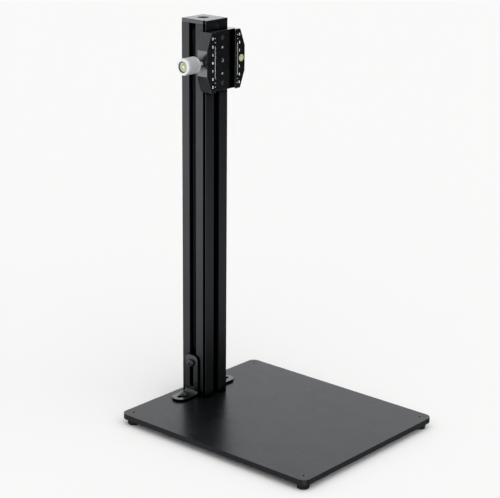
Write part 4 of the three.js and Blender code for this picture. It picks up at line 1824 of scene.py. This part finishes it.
@dataclass
class Studio:
    """Camera, pale floor and soft light."""

    camera_place: Triple = (-1.4485, -1.20599, 0.81844)
    yaw: float = math.radians(49.1246)
    pitch: float = math.radians(17.1482)
    roll: float = math.radians(0.5116)
    lens: float = 114.26
    sensor: float = 36.0
    clip: tuple[float, float] = (0.05, 100.0)
    floor_size: float = 40.0
    floor_drop: float = 0.0002
    card_height: float = 0.0006
    floor_colour: Colour = (0.95, 0.95, 0.945)
    sky_top: Triple = (-0.33, -0.47, 0.82)
    sky_reach: tuple[float, float] = (0.45, 1.0)
    sky_levels: tuple[float, float] = (0.434, 1.971)
    room_back: Triple = (0.95, 0.30, 0.0)
    room_reach: tuple[float, float] = (0.55, 0.92)
    room_levels: tuple[float, float] = (0.78, 1.1)
    backdrop_level: float = 0.975
    floor_roughness: float = 0.9
    right_card: tuple[object, ...] = ((1.9, -1.6, 0.7), (0.0, 0.1, 0.6), 4.4, 2.4, 0.04)
    room_tint: Colour = (0.985, 1.0, 1.03)
    card_tint: Colour = (0.96, 1.0, 1.09)

    def build(self) -> None:
        """Builds everything around the stand."""
        self.build_camera()
        self.build_floor()
        self.build_world()
        self.build_cards()

    def build_camera(self) -> None:
        """Sets the camera where the photograph was taken from."""
        sin_y, cos_y = math.sin(self.yaw), math.cos(self.yaw)
        sin_p, cos_p = math.sin(self.pitch), math.cos(self.pitch)
        forward = Vector((sin_y * cos_p, cos_y * cos_p, -sin_p))
        right = Vector((cos_y, -sin_y, 0.0))
        up = right.cross(forward)
        turned_right = right * math.cos(self.roll) + up * math.sin(self.roll)
        turned_up = up * math.cos(self.roll) - right * math.sin(self.roll)
        data = bpy.data.cameras.new("camera")
        data.sensor_width = self.sensor
        data.lens = self.lens
        data.clip_start, data.clip_end = self.clip
        camera = bpy.data.objects.new("camera", data)
        turn = Matrix((turned_right, turned_up, -forward)).transposed()
        camera.matrix_world = Matrix.Translation(self.camera_place) @ turn.to_4x4()
        bpy.context.scene.collection.objects.link(camera)
        bpy.context.scene.camera = camera

    def build_floor(self) -> None:
        """Lays the pale floor under the feet."""
        shape = bmesh.new()
        bmesh.ops.create_grid(shape, x_segments=1, y_segments=1, size=self.floor_size / 2)
        bmesh.ops.translate(shape, vec=(0.0, 0.0, -self.floor_drop), verts=shape.verts)
        floor = Workshop.piece("floor", shape)
        material, graph = new_material("floor_paper")
        inputs = {"Base Color": (*self.floor_colour, 1.0), "Roughness": self.floor_roughness}
        inputs["Specular IOR Level"] = 0.0
        graph.surface(graph.add("ShaderNodeBsdfPrincipled", inputs))
        floor.data.materials.append(material)

    def build_world(self) -> None:
        """Surrounds the stand with soft light, and with a room that shows in its reflections."""
        world = bpy.data.worlds.new("studio")
        bpy.context.scene.world = world
        world.use_nodes = True
        graph = Graph(world.node_tree)
        direction = graph.add("ShaderNodeTexCoord").outputs["Generated"]
        turned = [graph.vectors("DOT_PRODUCT", direction, way) for way in (self.sky_top, self.room_back)]
        above, back = (node.outputs["Value"] for node in turned)
        sky_light = graph.between(above, *self.sky_reach, *self.sky_levels)
        room_light = graph.between(back, *self.room_reach, *self.room_levels)
        soft = self.background(graph, sky_light)
        room = self.background(graph, room_light, self.room_tint)
        seen = self.background(graph, self.backdrop_level)
        path = graph.add("ShaderNodeLightPath")
        lit = graph.add("ShaderNodeMixShader", {0: path.outputs["Is Glossy Ray"], 1: soft, 2: room})
        mix = graph.add("ShaderNodeMixShader", {0: path.outputs["Is Camera Ray"], 1: lit.outputs[0], 2: seen})
        graph.add("ShaderNodeOutputWorld", {"Surface": mix.outputs[0]})

    @staticmethod
    def background(graph: Graph, level: object, tint: Colour = (1.0, 1.0, 1.0)) -> Socket:
        """Background of one level, white unless a tint is given."""
        inputs = {"Color": (*tint, 1.0), "Strength": level}
        return graph.add("ShaderNodeBackground", inputs).outputs[0]

    def build_cards(self) -> None:
        """Lays out the cards that shade the reflections."""
        self.card("right_card", *self.right_card)
        for name, low, high, level in FLOOR_CARDS:
            self.floor_card(f"{name}_card", low, high, level)

    def floor_card(self, name: str, low: Point, high: Point, level: float) -> None:
        """Lays a card on the floor that is only seen in reflections.

        Args:
            name: the card's name.
            low: its lowest corner in X and Y.
            high: its highest corner in X and Y.
            level: how bright it is, where 1 is white.
        """
        middle = ((low[0] + high[0]) / 2, (low[1] + high[1]) / 2)
        place, above = (*middle, self.card_height), (*middle, 1.0)
        self.card(name, place, above, high[0] - low[0], high[1] - low[1], level)

    def card(
        self,
        name: str,
        place: Sequence[float],
        target: Sequence[float],
        width: float,
        height: float,
        level: float,
    ) -> None:
        """Adds a grey card that is only seen in reflections.

        Args:
            name: the card's name.
            place: where it stands.
            target: what it faces.
            width: its width in metres.
            height: its height in metres.
            level: how bright it is, where 1 is white.
        """
        aim = Vector(target) - Vector(place)
        turn = aim.to_track_quat("Z", "Y").to_matrix().to_4x4()
        shape = bmesh.new()
        bmesh.ops.create_grid(shape, x_segments=1, y_segments=1, size=0.5)
        bmesh.ops.scale(shape, vec=(width, height, 1.0), verts=shape.verts)
        bmesh.ops.transform(shape, matrix=Matrix.Translation(place) @ turn, verts=shape.verts)
        card = Workshop.piece(name, shape)
        material, graph = new_material(f"{name}_paper")
        inputs = {"Color": (*self.card_tint, 1.0), "Strength": level}
        graph.surface(graph.add("ShaderNodeEmission", inputs))
        card.data.materials.append(material)
        for ray in ("camera", "diffuse", "shadow", "transmission"):
            setattr(card, f"visible_{ray}", False)


def main() -> None:
    """Builds the stand and the studio in order."""
    logging.basicConfig(level=logging.INFO, format="%(name)s %(message)s")
    bpy.context.scene.view_settings.view_transform = "Standard"
    Studio().build()
    Effects.build()
    Base().build()
    Column().build()
    for side in SIDES:
        Bracket(side).build()
    for fastener in FASTENERS:
        fastener.build()
    for washer in WASHERS:
        washer.build()
    Clamp().build()
    Level("jaw_level", Axis.Y, Body.CARRIAGE).build()
    Knob().build()
    Scale().build()
    HARDWARE.dress()


if __name__ == "__main__":
    main()
